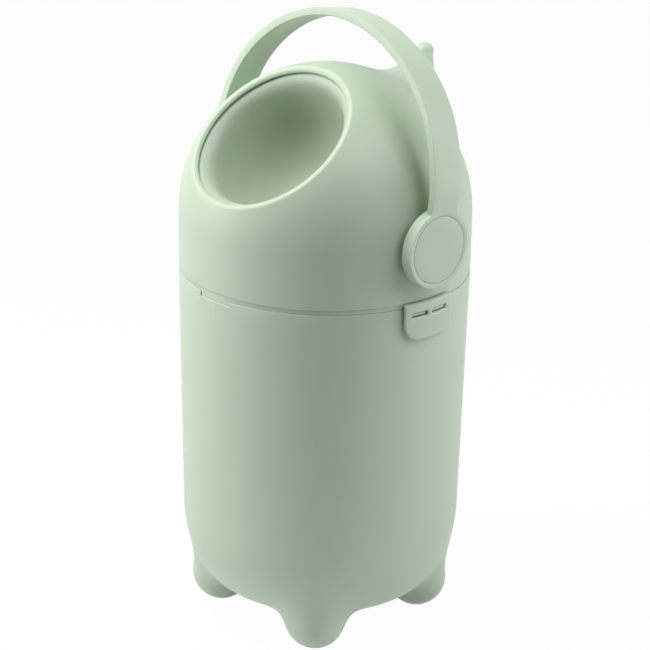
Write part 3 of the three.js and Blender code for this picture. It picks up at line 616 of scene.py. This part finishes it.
def mouth_lip():
    """The mouth's lip, from the dome over a rounding down to the cup and out to the hollow."""
    reach = mouth_radius + mouth_round_reach
    centre = body_radius - mouth_round
    level = sphere_level(centre, reach)
    low = ball_radius + mouth_gap
    first = atan2(level, reach)
    last = first + acos((low ** 2 - centre ** 2 - mouth_round ** 2) / (2 * mouth_round * centre))
    lip = arc_points((reach, level), mouth_round, first, last, steps=12)
    outer = mouth_radius + mouth_wall
    return lip + [(outer, sphere_level(low, outer)), (outer, sphere_level(head_inner_radius, outer))]


def head_rings():
    """The outside of the head as rings from its bottom edge to the mouth, about the pivot."""
    even = np.linspace(0, 2 * pi, head_columns, endpoint=False)
    turns = even - head_crowding * np.sin(even)
    back = np.array(mouth_back)
    axis = np.array(mouth_axis)
    sideways = np.array([1.0, 0, 0])
    outward = np.cos(turns)[:, None] * back + np.sin(turns)[:, None] * sideways
    lip_reach, lip_level = mouth_lip()[0]
    first = atan2(lip_reach, lip_level)
    low = np.full(head_columns, first)
    high = np.full(head_columns, pi)
    bottom = head_edge + head_edge_round - pivot_height
    halvings = 40
    for _ in range(halvings):
        middle = (low + high) / 2
        ray = np.cos(middle)[:, None] * axis + np.sin(middle)[:, None] * outward
        level = ray[:, 2] / np.hypot(ray[:, 0], ray[:, 1]) * body_radius
        above = (ray[:, 2] > 0) | (level > bottom)
        low = np.where(above, middle, low)
        high = np.where(above, high, middle)
    shares = np.linspace(0, 1, head_ring_count)
    swing = 2 * pi * (shares - horn_share)
    shares = shares - head_crowding * (np.sin(swing) + sin(2 * pi * horn_share)) / (2 * pi)
    angles = first + shares[:, None] * (low - first)[None, :]
    rays = np.cos(angles)[..., None] * axis + np.sin(angles)[..., None] * outward
    across = np.hypot(rays[..., 0], rays[..., 1])
    dome = rays * (body_radius / np.where(rays[..., 2] > 0, 1, across))[..., None]
    below_horn = np.array([0, horn_foot_back, 0])
    rays = dome - below_horn
    rays = rays / np.linalg.norm(rays, axis=-1, keepdims=True)
    skin = reach_along(below_horn, rays, dome_field)
    across = np.hypot(skin[..., 0], skin[..., 1])
    plain = np.where(skin[..., 2] > 0, np.linalg.norm(skin, axis=-1), across)
    free = plain > body_radius + horn_least_rise
    free[:2] = False
    free[-2:] = False
    return relax(skin, dome_field, free, horn_rounds)[::-1], outward, axis


def make_head_shell():
    """The head: dome and horn as one skin, with a rounded lip at the mouth and holes for the axle.

    The hollow has every third ring of the skin.
    """
    skin, outward, axis = head_rings()
    hollow = inner_skin(skin, dome_field, wall)
    lip = [outward * reach + axis * level for reach, level in mouth_lip()[1:]]
    turns = np.arctan2(skin[0, :, 1], skin[0, :, 0])
    bottom = head_edge - pivot_height
    level = bottom + head_edge_round
    inner_arc = arc_points((head_inner_radius + head_edge_round, level), head_edge_round,
                           pi, 1.5 * pi, steps=4)
    outer_arc = arc_points((body_radius - head_edge_round, level), head_edge_round,
                           -pi / 2, 0, steps=4)
    edge = [ring_at(reach, level, turns) for reach, level in inner_arc + outer_arc[:-1]]
    rows = list(skin) + lip + list(hollow[-4::-3]) + edge
    rows = [row + np.array([0, 0, pivot_height]) for row in rows]
    head = skin_piece("head_dome", rows)
    across = Vector((far_reach, 0, 0))
    hole = rod("axle_hole", axle_hole_radius, pivot - across, pivot + across, vertices=64)
    return combine(head, hole, "DIFFERENCE")


def make_collar():
    """The collar between bucket and head, with the ears that hold the clips' pins."""
    low = rim_height + rim_gap
    high = head_edge - clearance
    skirt_low = rim_height - collar_skirt_depth
    spigot_high = head_edge + collar_spigot_height
    spigot_radius = head_inner_radius - 2 * clearance
    groove_radius = collar_skirt_radius - gasket_depth
    groove_high = rim_height - gasket_below_rim
    groove_low = groove_high - gasket_height
    edge = collar_edge_round
    profile = [
        (collar_bore, skirt_low + edge), (collar_bore + edge, skirt_low),
        (collar_skirt_radius - edge, skirt_low), (collar_skirt_radius, skirt_low + edge),
        (collar_skirt_radius, groove_low), (groove_radius, groove_low), (groove_radius, groove_high),
        (collar_skirt_radius, groove_high), (collar_skirt_radius, low)]
    profile += arc_points((collar_radius - edge, low + edge), edge, -pi / 2, 0, steps=3)
    profile += arc_points((collar_radius - edge, high - edge), edge, 0, pi / 2, steps=3)
    profile += [
        (spigot_radius, high), (spigot_radius, spigot_high - 2 * snap_bead),
        (spigot_radius + snap_bead, spigot_high - snap_bead), (spigot_radius, spigot_high),
        (collar_bore, spigot_high)]
    collar = turned_up("head_collar", profile)
    combine(collar, collar_key(), "UNION")
    for side_sign in (-1, 1):
        room = rod("knuckle_room", knuckle_radius + clearance,
                   (side_sign * pin_reach, -knuckle_half_length - clearance, pin_height),
                   (side_sign * pin_reach, knuckle_half_length + clearance, pin_height))
        combine(collar, room, "DIFFERENCE")
        for start in ear_starts:
            combine(collar, clip_ear(side_sign, start), "UNION")
    return collar


def collar_key():
    """The key on the collar that fills the bucket's notch."""
    low = rim_height - notch_depth + rim_gap
    high = rim_height + seam_gap / 2
    root = collar_skirt_radius - wall / 2
    half = (notch_half_width - rim_gap) / key_radius
    profile = [(root, low), (key_radius - key_round, low), (key_radius, low + key_round),
               (key_radius, high), (root, high)]
    return curved_bar("collar_key", profile, -pi / 2 - half, -pi / 2 + half)


def clip_ear(side_sign, start):
    """One ear that holds a clip's pin."""
    near = collar_bore + wall
    ends = sorted((side_sign * near, side_sign * pin_reach))
    arm = block("ear_arm", (ends[0], start, pin_height - knuckle_radius),
                (ends[1], start + ear_width, pin_height + knuckle_radius))
    eye = rod("ear_eye", knuckle_radius, (side_sign * pin_reach, start, pin_height),
              (side_sign * pin_reach, start + ear_width, pin_height))
    return combine(arm, eye, "UNION")


def make_rim_gasket():
    low = rim_height - gasket_below_rim - gasket_height + clearance
    high = rim_height - gasket_below_rim - clearance
    outer = body_radius - draft_share * gasket_below_rim - wall - gasket_gap
    inner = collar_skirt_radius - gasket_depth + clearance
    half = (high - low) / 2
    bulge = arc_points((outer - half, low + half), half, -pi / 2, pi / 2, steps=8)
    return turned_up("rim_gasket_ring", [(inner, low)] + bulge + [(inner, high)])


def make_bag_ring():
    bore = body_radius - draft_share * (rim_height - bag_ring_top) - wall
    outer = bore - 2 * clearance - bag_ring_bead / 2
    inner = outer - bag_ring_width
    low = bag_ring_top - bag_ring_height
    bead = bag_ring_bead
    corner = bead_corner_share * bead
    return turned_up("bag_holding_ring", [
        (inner, low + bead), (inner + corner, low + corner), (inner + bead, low),
        (outer - bead, low), (outer - corner, low + corner), (outer, low + bead),
        (outer, bag_ring_top - corner), (outer - corner, bag_ring_top),
        (outer - bead + corner, bag_ring_top), (outer - bead, bag_ring_top - corner),
        (outer - 2 * bead, low + 2 * bead), (inner + bead, low + 2 * bead)])


def sphere_level(radius, reach):
    """How far along the axis a sphere about the pivot is, at a reach from the axis."""
    return sqrt(radius * radius - reach * reach)


def make_mouth_seal():
    """The soft ring inside the head that closes the gap round the mouth."""
    outer = head_inner_radius - seal_room
    inner = outer - seal_thickness
    near = mouth_radius + mouth_wall + clearance
    reaches = [near + seal_width * i / seal_steps for i in range(seal_steps + 1)]
    profile = [(reach, sphere_level(inner, reach)) for reach in reaches]
    profile += [(reach, sphere_level(outer, reach)) for reach in reversed(reaches)]
    return turned_at_mouth("mouth_seal_ring", profile)


def make_cup():
    """The cup: a lip that curves into a round bowl, with the flange that is held in the ball."""
    crest_level = sphere_level(ball_radius, cup_crest_radius)
    bowl_level = crest_level - cup_lip_depth
    under_lip = ball_radius - lip_thickness
    flange_top = ball_radius - ball_wall - flange_room
    flange_low = flange_top - flange_thickness
    outer_bowl_radius = cup_bowl_radius + cup_wall
    profile = [(0, bowl_level - cup_bowl_radius - cup_wall)]
    profile += arc_points((0, bowl_level), outer_bowl_radius, -pi / 2, 0, steps=24)[1:]
    neck = cup_neck_radius
    profile += [
        (neck, sphere_level(flange_low, neck) - flange_thickness),
        (neck, sphere_level(flange_low, neck)), (flange_radius, sphere_level(flange_low, flange_radius)),
        (flange_radius, sphere_level(flange_top, flange_radius)), (neck, sphere_level(flange_top, neck)),
        (neck, sphere_level(under_lip, neck))]
    edge_level = sphere_level(ball_radius, cup_rim_radius - cup_lip_round) - cup_lip_round
    profile.append((cup_rim_radius, sphere_level(under_lip, cup_rim_radius)))
    profile += arc_points((cup_rim_radius - cup_lip_round, edge_level), cup_lip_round, 0, pi / 2, steps=6)
    profile += curve_between(
        (cup_crest_radius, crest_level), (cup_crest_radius - cup_lip_turn, crest_level),
        (cup_bowl_radius, crest_level - cup_lip_drop), (cup_bowl_radius, bowl_level), steps=24)
    profile += arc_points((0, bowl_level), cup_bowl_radius, 0, -pi / 2, steps=32)[1:-1]
    profile.append((0, bowl_level - cup_bowl_radius))
    return turned_at_mouth("nappy_cup", profile)


def make_ball_half():
    """The +X half of the ball that carries the cup."""
    bpy.ops.object.select_all(action="DESELECT")
    bpy.ops.mesh.primitive_uv_sphere_add(segments=192, ring_count=128, radius=ball_radius,
                                         location=pivot, rotation=(0, pi / 2, 0))
    half = settle_place(bpy.context.object)
    half.name = "ball_half_right"
    edit(half, "SELECT")
    bpy.ops.mesh.bisect(plane_co=(ball_seam / 2, 0, 0), plane_no=(1, 0, 0), clear_inner=True)
    bpy.ops.mesh.select_all(action="SELECT")
    bpy.ops.mesh.bisect(plane_co=(ball_flat, 0, 0), plane_no=(1, 0, 0), clear_outer=True, use_fill=True)
    leave_edit()
    shell = half.modifiers.new("wall", "SOLIDIFY")
    shell.thickness = ball_wall
    shell.offset = -1
    shell.use_even_offset = True
    apply_modifiers(half)
    tongue = ball_radius - ball_wall + tongue_thickness
    neck = cup_neck_radius + clearance
    rim = cup_rim_radius + clearance
    cutter = turned_at_mouth("ball_mouth", [
        (0, ball_mouth_start), (neck, ball_mouth_start), (neck, sphere_level(tongue, neck)),
        (rim, sphere_level(tongue, rim)), (rim, far_reach), (0, far_reach)])
    return combine(half, cutter, "DIFFERENCE")


def arch_point(share):
    """The arch's outer line in the handle's own plane, as (reach, height), from hub to hub.

    It is a smooth curve through the radii that arch_growth_shares gives at even turns."""
    turn = pi * share
    half = min(turn, pi - turn)
    last = len(arch_growth_shares) - 1
    spot = half / (pi / 2) * last
    first = min(int(spot), last - 1)

    def radius_at(i):
        folded = -i if i < 0 else min(i, 2 * last - i)
        return arch_foot + (arch_rise - arch_foot) * arch_growth_shares[folded]

    part = spot - first
    before, near, far, beyond = (radius_at(first + step) for step in (-1, 0, 1, 2))
    cubic = 3 * (near - far) + beyond - before
    square = 2 * before - 5 * near + 4 * far - beyond
    radius = near + 0.5 * part * (far - before + part * (square + part * cubic))
    face = hub_face - arch_face_gap
    return min(max(radius * cos(turn), -face), face), radius * sin(turn)


def strap_section(front, rear):
    """Once round the strap as (across, depth) pairs, with rounded edges."""
    near = strap_front_round
    far = strap_rear_round
    middle = (front + rear) / 2
    section = arc_points((rear - far, far), far, 0, -pi / 2, steps=5)
    section += [(rear / 2, 0), (middle, 0), (front / 2, 0)]
    section += arc_points((front + near, near), near, -pi / 2, -pi, steps=5)
    section += arc_points((front + far, strap_thickness - far), far, pi, pi / 2, steps=5)
    section += [(front / 2, strap_thickness), (middle, strap_thickness), (rear / 2, strap_thickness)]
    section += arc_points((rear - far, strap_thickness - far), far, pi / 2, 0, steps=5)
    return section


def make_strap():
    """The handle's strap from hub to hub, leaning back."""
    steps = 180
    fine_share = 0.0001
    slope_share = 0.002
    start = 0.0
    while arch_point(start)[1] < strap_start:
        start += fine_share
    rows = []
    for i in range(steps + 1):
        share = start + (1 - 2 * start) * i / steps
        reach, height = arch_point(share)
        before = arch_point(share - slope_share)
        after = arch_point(share + slope_share)
        tangent = Vector((after[0] - before[0], after[1] - before[1])).normalized()
        inward = (-tangent.y, tangent.x)
        width = strap_width_at_hub + (strap_width_at_top - strap_width_at_hub) * sin(pi * share)
        rear = width / 2 + strap_swell * abs(sin(2 * pi * share))
        row = []
        for across, depth in strap_section(-width / 2, rear):
            level = height + inward[1] * depth
            if i in (0, steps):
                level = strap_start
            row.append(Vector((reach + inward[0] * depth, across, level)))
        rows.append(row)
    lean = Matrix.Rotation(-strap_lean, 3, "X")
    rows = [[lean @ point + pivot for point in row] for row in rows]
    return skin_piece("handle_strap", rows, closed=False)


def make_hub():
    """One hub of the handle with its journal, the seat of its cap and its drive socket."""
    seat = hub_face - cap_thickness - clearance
    seat_radius = cap_radius + cap_gap
    edge = hub_edge
    hole_end = web_outer - screw_hole_depth
    profile = [(0, journal_start), (journal_radius - edge, journal_start),
               (journal_radius, journal_start + edge), (journal_radius, hub_inner)]
    profile += arc_points((hub_radius - hub_round, hub_inner + hub_round), hub_round, -pi / 2, 0, steps=6)
    profile += arc_points((hub_radius - hub_round, hub_face - hub_round), hub_round, 0, pi / 2, steps=8)
    profile += arc_points((seat_radius + edge, hub_face - edge), edge, pi / 2, pi, steps=3)
    profile += [(seat_radius, seat), (counterbore_radius, seat), (counterbore_radius, web_outer),
                (screw_hole_radius, web_outer), (screw_hole_radius, hole_end), (0, hole_end)]
    hub = turned_across("hub", profile)
    corner = pivot + Vector((0, -socket_half, -socket_half))
    socket = block("socket", (journal_start - wall, corner.y, corner.z),
                   (socket_end, -corner.y, pivot_height + socket_half))
    return combine(hub, socket, "DIFFERENCE")


def make_handle():
    handle = make_strap()
    handle.name = "carrying_handle"
    hub = make_hub()
    left = mirrored_copy(hub, "hub_left")
    combine(handle, hub, "UNION")
    combine(handle, left, "UNION")
    return handle


def make_hub_cap():
    """The plain cap in a hub's face."""
    seat = hub_face - cap_thickness
    profile = [(0, seat), (cap_radius, seat)]
    profile += arc_points((cap_radius - cap_round, hub_face - cap_round), cap_round, 0, pi / 2, steps=4)
    profile += [(cap_radius * share, hub_face) for share in cap_ring_shares]
    profile.append((0, hub_face))
    return turned_across("pivot_cap_right", profile)


def rounded_plate(name, loops, thickness, edge):
    """A flat plate in the XY plane from closed loops of points, with rounded edges."""
    curve = bpy.data.curves.new(name, "CURVE")
    curve.dimensions = "2D"
    curve.fill_mode = "BOTH"
    curve.extrude = thickness / 2 - edge
    curve.bevel_depth = edge
    curve.bevel_resolution = 3
    curve.offset = -edge
    for loop in loops:
        spline = curve.splines.new("POLY")
        spline.points.add(len(loop) - 1)
        for point, (across, level) in zip(spline.points, loop):
            point.co = (across, level, 0, 1)
        spline.use_cyclic_u = True
    plate = bpy.data.objects.new(name, curve)
    bpy.context.scene.collection.objects.link(plate)
    select_only(plate)
    bpy.ops.object.convert(target="MESH")
    return bpy.context.object


def clip_loops():
    """The clip's outline and slots as seen from outside, as (across, level) loops."""
    half = (clip_inner_radius + clip_thickness) * sin(clip_half_angle)
    front = arc_points((-half + clip_front_round, clip_bottom + clip_front_round),
                       clip_front_round, pi, 1.5 * pi, steps=14)
    back = arc_points((half - clip_back_round, clip_bottom + clip_back_round),
                      clip_back_round, -pi / 2, 0, steps=6)
    high = clip_top + wall
    loops = [front + back + [(half, high), (-half, high)]]
    for start, end in slot_spans:
        low = slot_bottom + slot_round
        high = slot_bottom + slot_height - slot_round
        loop = arc_points((end - slot_round, low), slot_round, -pi / 2, 0, steps=3)
        loop += arc_points((end - slot_round, high), slot_round, 0, pi / 2, steps=3)
        loop += arc_points((start + slot_round, high), slot_round, pi / 2, pi, steps=3)
        loop += arc_points((start + slot_round, low), slot_round, pi, 1.5 * pi, steps=3)
        loops.append(loop)
    return loops


def clip_top_cutter():
    """What lies above the clip's top line, with the clip's rounded front corner."""
    half = (clip_inner_radius + clip_thickness) * sin(clip_half_angle)
    far = body_radius / 2
    line = arc_points((-half + clip_top_round, clip_top - clip_top_round),
                      clip_top_round, pi, pi / 2, steps=8)
    line = [(-far, line[0][1])] + line + [(far, clip_top), (far, clip_top + far), (-far, clip_top + far)]
    rows = [[(reach, across, level) for across, level in line]
            for reach in (body_radius / 2, 2 * body_radius)]
    return skin_piece("clip_top_cutter", rows, closed=False)


def clip_top_edge_cutter():
    """What lies outside the rounding of the clip's outer top edge."""
    face = clip_inner_radius + clip_thickness
    edge = clip_top_edge_round
    far = face + edge
    above = clip_top + edge
    profile = arc_points((face - edge, clip_top - edge), edge, 0, pi / 2, steps=6)
    profile += [(face - edge, above), (far, above), (far, clip_top - edge)]
    return curved_bar("clip_top_edge_cutter", profile, -clip_cutter_angle, clip_cutter_angle)


def make_clip():
    """The +X side clip: a plate bent round the bin, with two slots and a knuckle for its pin."""
    clip = rounded_plate("side_clip_right", clip_loops(), clip_thickness, clip_edge_round)
    clean(clip, merge=0.01 * mm)
    edit(clip)
    half = clip_inner_radius * sin(clip_half_angle) + clip_thickness
    for i in range(1, clip_bend_steps):
        across = -half + 2 * half * i / clip_bend_steps
        bpy.ops.mesh.select_all(action="SELECT")
        bpy.ops.mesh.bisect(plane_co=(across, 0, 0), plane_no=(1, 0, 0))
    leave_edit()
    for vertex in clip.data.vertices:
        across, level, depth = vertex.co
        reach = clip_inner_radius + clip_thickness / 2 + depth
        turn = across / (clip_inner_radius + clip_thickness)
        vertex.co = (reach * cos(turn), reach * sin(turn), level)
    clean(clip)
    combine(clip, clip_top_cutter(), "DIFFERENCE")
    combine(clip, clip_top_edge_cutter(), "DIFFERENCE")
    knuckle = rod("knuckle", knuckle_radius, (pin_reach, -knuckle_half_length, pin_height),
                  (pin_reach, knuckle_half_length, pin_height))
    combine(clip, knuckle, "UNION")
    for start in ear_starts:
        near = start - clearance
        far = start + ear_width + clearance
        radius = knuckle_radius + clearance
        room = rod("ear_room", radius, (pin_reach, near, pin_height), (pin_reach, far, pin_height))
        pocket = block("ear_pocket", (ear_pocket_start, near, pin_height - radius),
                       (pin_reach, far, head_edge + wall))
        combine(clip, room, "DIFFERENCE")
        combine(clip, pocket, "DIFFERENCE")
    return clip


def math_node(tree, operation, first, second):
    """The result of a math node on two sockets."""
    node = tree.nodes.new("ShaderNodeMath")
    node.operation = operation
    tree.links.new(first, node.inputs[0])
    tree.links.new(second, node.inputs[1])
    return node.outputs["Value"]


def value_input(group, name, default):
    socket = group.interface.new_socket(name, in_out="INPUT", socket_type="NodeSocketFloat")
    socket.default_value = default


def moulded_grain_group():
    """Fine moulded grain: a value for roughness, a mask of slow tone and a normal."""
    group = bpy.data.node_groups.new("moulded grain", "ShaderNodeTree")
    for name, default in (("Grain Scale", 900), ("Grain Depth", 0.1), ("Cloud Scale", 9),
                          ("Roughness Low", 0.4), ("Roughness High", 0.5)):
        value_input(group, name, default)
    for name in ("Tone", "Roughness"):
        group.interface.new_socket(name, in_out="OUTPUT", socket_type="NodeSocketFloat")
    group.interface.new_socket("Normal", in_out="OUTPUT", socket_type="NodeSocketVector")
    nodes = group.nodes
    links = group.links
    inputs = nodes.new("NodeGroupInput")
    outputs = nodes.new("NodeGroupOutput")
    place = nodes.new("ShaderNodeTexCoord")
    grain = nodes.new("ShaderNodeTexNoise")
    grain.inputs["Detail"].default_value = 3
    links.new(place.outputs["Object"], grain.inputs["Vector"])
    links.new(inputs.outputs["Grain Scale"], grain.inputs["Scale"])
    cloud = nodes.new("ShaderNodeTexNoise")
    cloud.inputs["Detail"].default_value = 4
    links.new(place.outputs["Object"], cloud.inputs["Vector"])
    links.new(inputs.outputs["Cloud Scale"], cloud.inputs["Scale"])
    shine = nodes.new("ShaderNodeMapRange")
    links.new(cloud.outputs["Fac"], shine.inputs["Value"])
    shine.inputs["From Min"].default_value = 0.3
    shine.inputs["From Max"].default_value = 0.7
    links.new(inputs.outputs["Roughness Low"], shine.inputs["To Min"])
    links.new(inputs.outputs["Roughness High"], shine.inputs["To Max"])
    bump = nodes.new("ShaderNodeBump")
    bump.inputs["Distance"].default_value = 0.1 * mm
    links.new(inputs.outputs["Grain Depth"], bump.inputs["Strength"])
    links.new(grain.outputs["Fac"], bump.inputs["Height"])
    links.new(cloud.outputs["Fac"], outputs.inputs["Tone"])
    links.new(shine.outputs["Result"], outputs.inputs["Roughness"])
    links.new(bump.outputs["Normal"], outputs.inputs["Normal"])
    return group


def edge_wear_group():
    """A mask of worn edges, broken up by fine noise."""
    group = bpy.data.node_groups.new("edge wear", "ShaderNodeTree")
    value_input(group, "Amount", 0.3)
    group.interface.new_socket("Mask", in_out="OUTPUT", socket_type="NodeSocketFloat")
    nodes = group.nodes
    links = group.links
    inputs = nodes.new("NodeGroupInput")
    outputs = nodes.new("NodeGroupOutput")
    surface = nodes.new("ShaderNodeNewGeometry")
    place = nodes.new("ShaderNodeTexCoord")
    scuffs = nodes.new("ShaderNodeTexNoise")
    scuffs.inputs["Scale"].default_value = 120
    scuffs.inputs["Detail"].default_value = 5
    links.new(place.outputs["Object"], scuffs.inputs["Vector"])
    edges = nodes.new("ShaderNodeMapRange")
    edges.inputs["From Min"].default_value = 0.52
    edges.inputs["From Max"].default_value = 0.62
    links.new(surface.outputs["Pointiness"], edges.inputs["Value"])
    broken = math_node(group, "MULTIPLY", edges.outputs["Result"], scuffs.outputs["Fac"])
    scaled = math_node(group, "MULTIPLY", broken, inputs.outputs["Amount"])
    links.new(scaled, outputs.inputs["Mask"])
    return group


grain_group = moulded_grain_group()
wear_group = edge_wear_group()


def grained_material(name, low, high, grain_values):
    """A material with grain in its roughness and normal, its shader and a drift between two tones."""
    material = bpy.data.materials.new(name)
    material.use_nodes = True
    nodes = material.node_tree.nodes
    links = material.node_tree.links
    shader = nodes["Principled BSDF"]
    grain = nodes.new("ShaderNodeGroup")
    grain.node_tree = grain_group
    for socket, value in grain_values.items():
        grain.inputs[socket].default_value = value
    tones = nodes.new("ShaderNodeMix")
    tones.data_type = "RGBA"
    tones.inputs["A"].default_value = (*low, 1)
    tones.inputs["B"].default_value = (*high, 1)
    links.new(grain.outputs["Tone"], tones.inputs["Factor"])
    links.new(grain.outputs["Roughness"], shader.inputs["Roughness"])
    links.new(grain.outputs["Normal"], shader.inputs["Normal"])
    return material, shader, tones


def plastic(name, low, high, worn, grain_depth, grain_scale, roughness, wear=0.3):
    """Satin moulded plastic: a slow drift between two tones, fine grain and paler edges."""
    material, shader, tones = grained_material(name, low, high, {
        "Grain Scale": grain_scale, "Grain Depth": grain_depth,
        "Roughness Low": roughness[0], "Roughness High": roughness[1]})
    shader.inputs["IOR"].default_value = 1.49
    nodes = material.node_tree.nodes
    links = material.node_tree.links
    edges = nodes.new("ShaderNodeGroup")
    edges.node_tree = wear_group
    edges.inputs["Amount"].default_value = wear
    paler = nodes.new("ShaderNodeMix")
    paler.data_type = "RGBA"
    paler.inputs["B"].default_value = (*worn, 1)
    links.new(edges.outputs["Mask"], paler.inputs["Factor"])
    links.new(tones.outputs["Result"], paler.inputs["A"])
    links.new(paler.outputs["Result"], shader.inputs["Base Color"])
    return material


def zinc_steel():
    """Plain zinc-plated steel for screws and pins."""
    material, shader, tones = grained_material(
        "zinc plated steel", (0.5, 0.51, 0.53), (0.66, 0.67, 0.68),
        {"Grain Scale": 2500, "Grain Depth": 0.15, "Cloud Scale": 60,
         "Roughness Low": 0.25, "Roughness High": 0.42})
    shader.inputs["Metallic"].default_value = 1
    material.node_tree.links.new(tones.outputs["Result"], shader.inputs["Base Color"])
    return material


sage = plastic(
    "sage shell plastic", low=(0.432, 0.54, 0.406), high=(0.453, 0.56, 0.427), worn=(0.533, 0.62, 0.506),
    grain_depth=0.12, grain_scale=1400, roughness=(0.42, 0.5))
# A darker, less green copy of the shell's sage plastic for the cup: painted shade for the inside of the
# mouth, where the cup is the same plastic as the shell.
cup_sage_painted_shade = plastic(
    "sage cup plastic with painted shade", low=(0.424, 0.512, 0.398), high=(0.444, 0.53, 0.418), worn=(0.516, 0.592, 0.49),
    grain_depth=0.12, grain_scale=1400, roughness=(0.42, 0.5))
soft_seal = plastic(
    "sage sealing rubber", low=(0.30, 0.40, 0.28), high=(0.33, 0.43, 0.31), worn=(0.36, 0.46, 0.34),
    grain_depth=0.35, grain_scale=1800, roughness=(0.68, 0.8), wear=0.15)
pale_inner = plastic(
    "pale inner plastic", low=(0.56, 0.62, 0.53), high=(0.6, 0.66, 0.57), worn=(0.68, 0.72, 0.65),
    grain_depth=0.2, grain_scale=1200, roughness=(0.36, 0.46))
steel = zinc_steel()


def dress(piece, body, slot, material, *nodes):
    """Gives a finished piece its material and its body, and hides the CAD nodes it stands for. The slot
    is not used.
    """
    piece.data.materials.clear()
    piece.data.materials.append(material)
    smooth(piece)
    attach(piece, body)
    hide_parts(*nodes)


dress(make_bucket(), "bucket", "shell", sage, "bucket")
dress(make_bag_ring(), "bucket", "inner_plastic", pale_inner, "bag_ring")
dress(make_head_shell(), "head", "shell", sage, "head_shell")
dress(make_collar(), "head", "shell", sage, "collar")
dress(make_rim_gasket(), "head", "seal", soft_seal, "rim_gasket")
dress(make_mouth_seal(), "head", "seal", soft_seal, "mouth_seal")
dress(make_cup(), "turning_cup", "shell", cup_sage_painted_shade, "cup")
dress(make_handle(), "turning_cup", "shell", sage, "handle")
right_half = make_ball_half()
left_half = mirrored_copy(right_half, "ball_half_left")
dress(right_half, "turning_cup", "shell", sage, "ball_shell_right")
dress(left_half, "turning_cup", "shell", sage, "ball_shell_left")
right_cap = make_hub_cap()
left_cap = mirrored_copy(right_cap, "pivot_cap_left")
dress(right_cap, "turning_cup", "shell", sage, "hub_cap_right")
dress(left_cap, "turning_cup", "shell", sage, "hub_cap_left")
right_clip = make_clip()
left_clip = mirrored_copy(right_clip, "side_clip_left")
dress(right_clip, "clip_right", "shell", sage, "clip_right")
dress(left_clip, "clip_left", "shell", sage, "clip_left")

for name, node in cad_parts.items():
    node.data.materials.clear()
    if "screw" in name or "pin" in name:
        node.data.materials.append(steel)
    else:
        node.data.materials.append(pale_inner)


def camera_axes(turn, rise, roll):
    """The camera's right, up and back directions for a view turned and raised about the bin."""
    back = Vector((sin(turn) * cos(rise), -cos(turn) * cos(rise), sin(rise)))
    level = Vector((cos(turn), sin(turn), 0))
    upright = back.cross(level)
    right = level * cos(roll) + upright * sin(roll)
    up = upright * cos(roll) - level * sin(roll)
    return level, right, up, back


def add_camera():
    """The camera at the photograph's viewing angle."""
    level, right, up, back = camera_axes(
        radians(camera_turn), radians(camera_rise), radians(camera_roll))
    place = Vector((0, 0, camera_aim_height)) + level * camera_aim_shift + back * camera_distance
    bpy.ops.object.camera_add(location=place, rotation=Matrix((right, up, back)).transposed().to_euler())
    camera = bpy.context.object
    camera.data.lens = camera_lens
    camera.data.sensor_width = camera_sensor
    camera.data.clip_end = camera_reach
    bpy.context.scene.camera = camera


def add_softbox(name, turn, rise, distance, width, height, power):
    """A soft lamp that looks at the bin from a turn and rise about it, with 0 along the camera."""
    level, right, up, back = camera_axes(radians(lamp_front_turn + turn), radians(rise), 0)
    place = Vector((0, 0, lamp_aim_height)) + back * distance
    bpy.ops.object.light_add(type="AREA", location=place,
                             rotation=Matrix((right, up, back)).transposed().to_euler())
    lamp = bpy.context.object
    lamp.name = name
    lamp.data.shape = "RECTANGLE"
    lamp.data.size = width
    lamp.data.size_y = height
    lamp.data.energy = power


def seen_share(tree):
    """A mask of the rays that see white: camera rays and those in gloss or through clear parts."""
    rays = tree.nodes.new("ShaderNodeLightPath").outputs
    plain = math_node(tree, "MAXIMUM", rays["Is Camera Ray"], rays["Is Glossy Ray"])
    return math_node(tree, "MAXIMUM", plain, rays["Is Transmission Ray"])


def add_world():
    """A white backdrop to the camera, and a low even light on the bin."""
    world = bpy.data.worlds.new("studio")
    bpy.context.scene.world = world
    world.use_nodes = True
    nodes = world.node_tree.nodes
    links = world.node_tree.links
    ambient = nodes["Background"]
    ambient.inputs["Color"].default_value = (1, 1, 1, 1)
    ambient.inputs["Strength"].default_value = ambient_strength
    white = nodes.new("ShaderNodeBackground")
    white.inputs["Color"].default_value = (1, 1, 1, 1)
    white.inputs["Strength"].default_value = 1
    chosen = nodes.new("ShaderNodeMixShader")
    links.new(seen_share(world.node_tree), chosen.inputs["Fac"])
    links.new(ambient.outputs["Background"], chosen.inputs[1])
    links.new(white.outputs["Background"], chosen.inputs[2])
    links.new(chosen.outputs["Shader"], nodes["World Output"].inputs["Surface"])


def add_floor():
    """A pale floor that shows white to the camera and keeps a faint shadow of the bin."""
    bpy.ops.object.select_all(action="DESELECT")
    bpy.ops.mesh.primitive_plane_add(size=floor_size, location=(0, 0, 0))
    floor = bpy.context.object
    floor.name = "studio_floor"
    material = bpy.data.materials.new("pale floor")
    material.use_nodes = True
    nodes = material.node_tree.nodes
    links = material.node_tree.links
    paint = nodes["Principled BSDF"]
    paint.inputs["Base Color"].default_value = (floor_tone, floor_tone, floor_tone, 1)
    paint.inputs["Roughness"].default_value = floor_roughness
    white = nodes.new("ShaderNodeEmission")
    white.inputs["Color"].default_value = (1, 1, 1, 1)
    white.inputs["Strength"].default_value = 1
    share = nodes.new("ShaderNodeMath")
    share.operation = "MULTIPLY"
    share.inputs[1].default_value = floor_white_share
    links.new(seen_share(material.node_tree), share.inputs[0])
    chosen = nodes.new("ShaderNodeMixShader")
    links.new(share.outputs["Value"], chosen.inputs["Fac"])
    links.new(paint.outputs["BSDF"], chosen.inputs[1])
    links.new(white.outputs["Emission"], chosen.inputs[2])
    links.new(chosen.outputs["Shader"], nodes["Material Output"].inputs["Surface"])
    floor.data.materials.append(material)


add_camera()
add_world()
add_floor()
for softbox in softboxes:
    add_softbox(*softbox)
bpy.context.scene.view_settings.view_transform = "Standard"
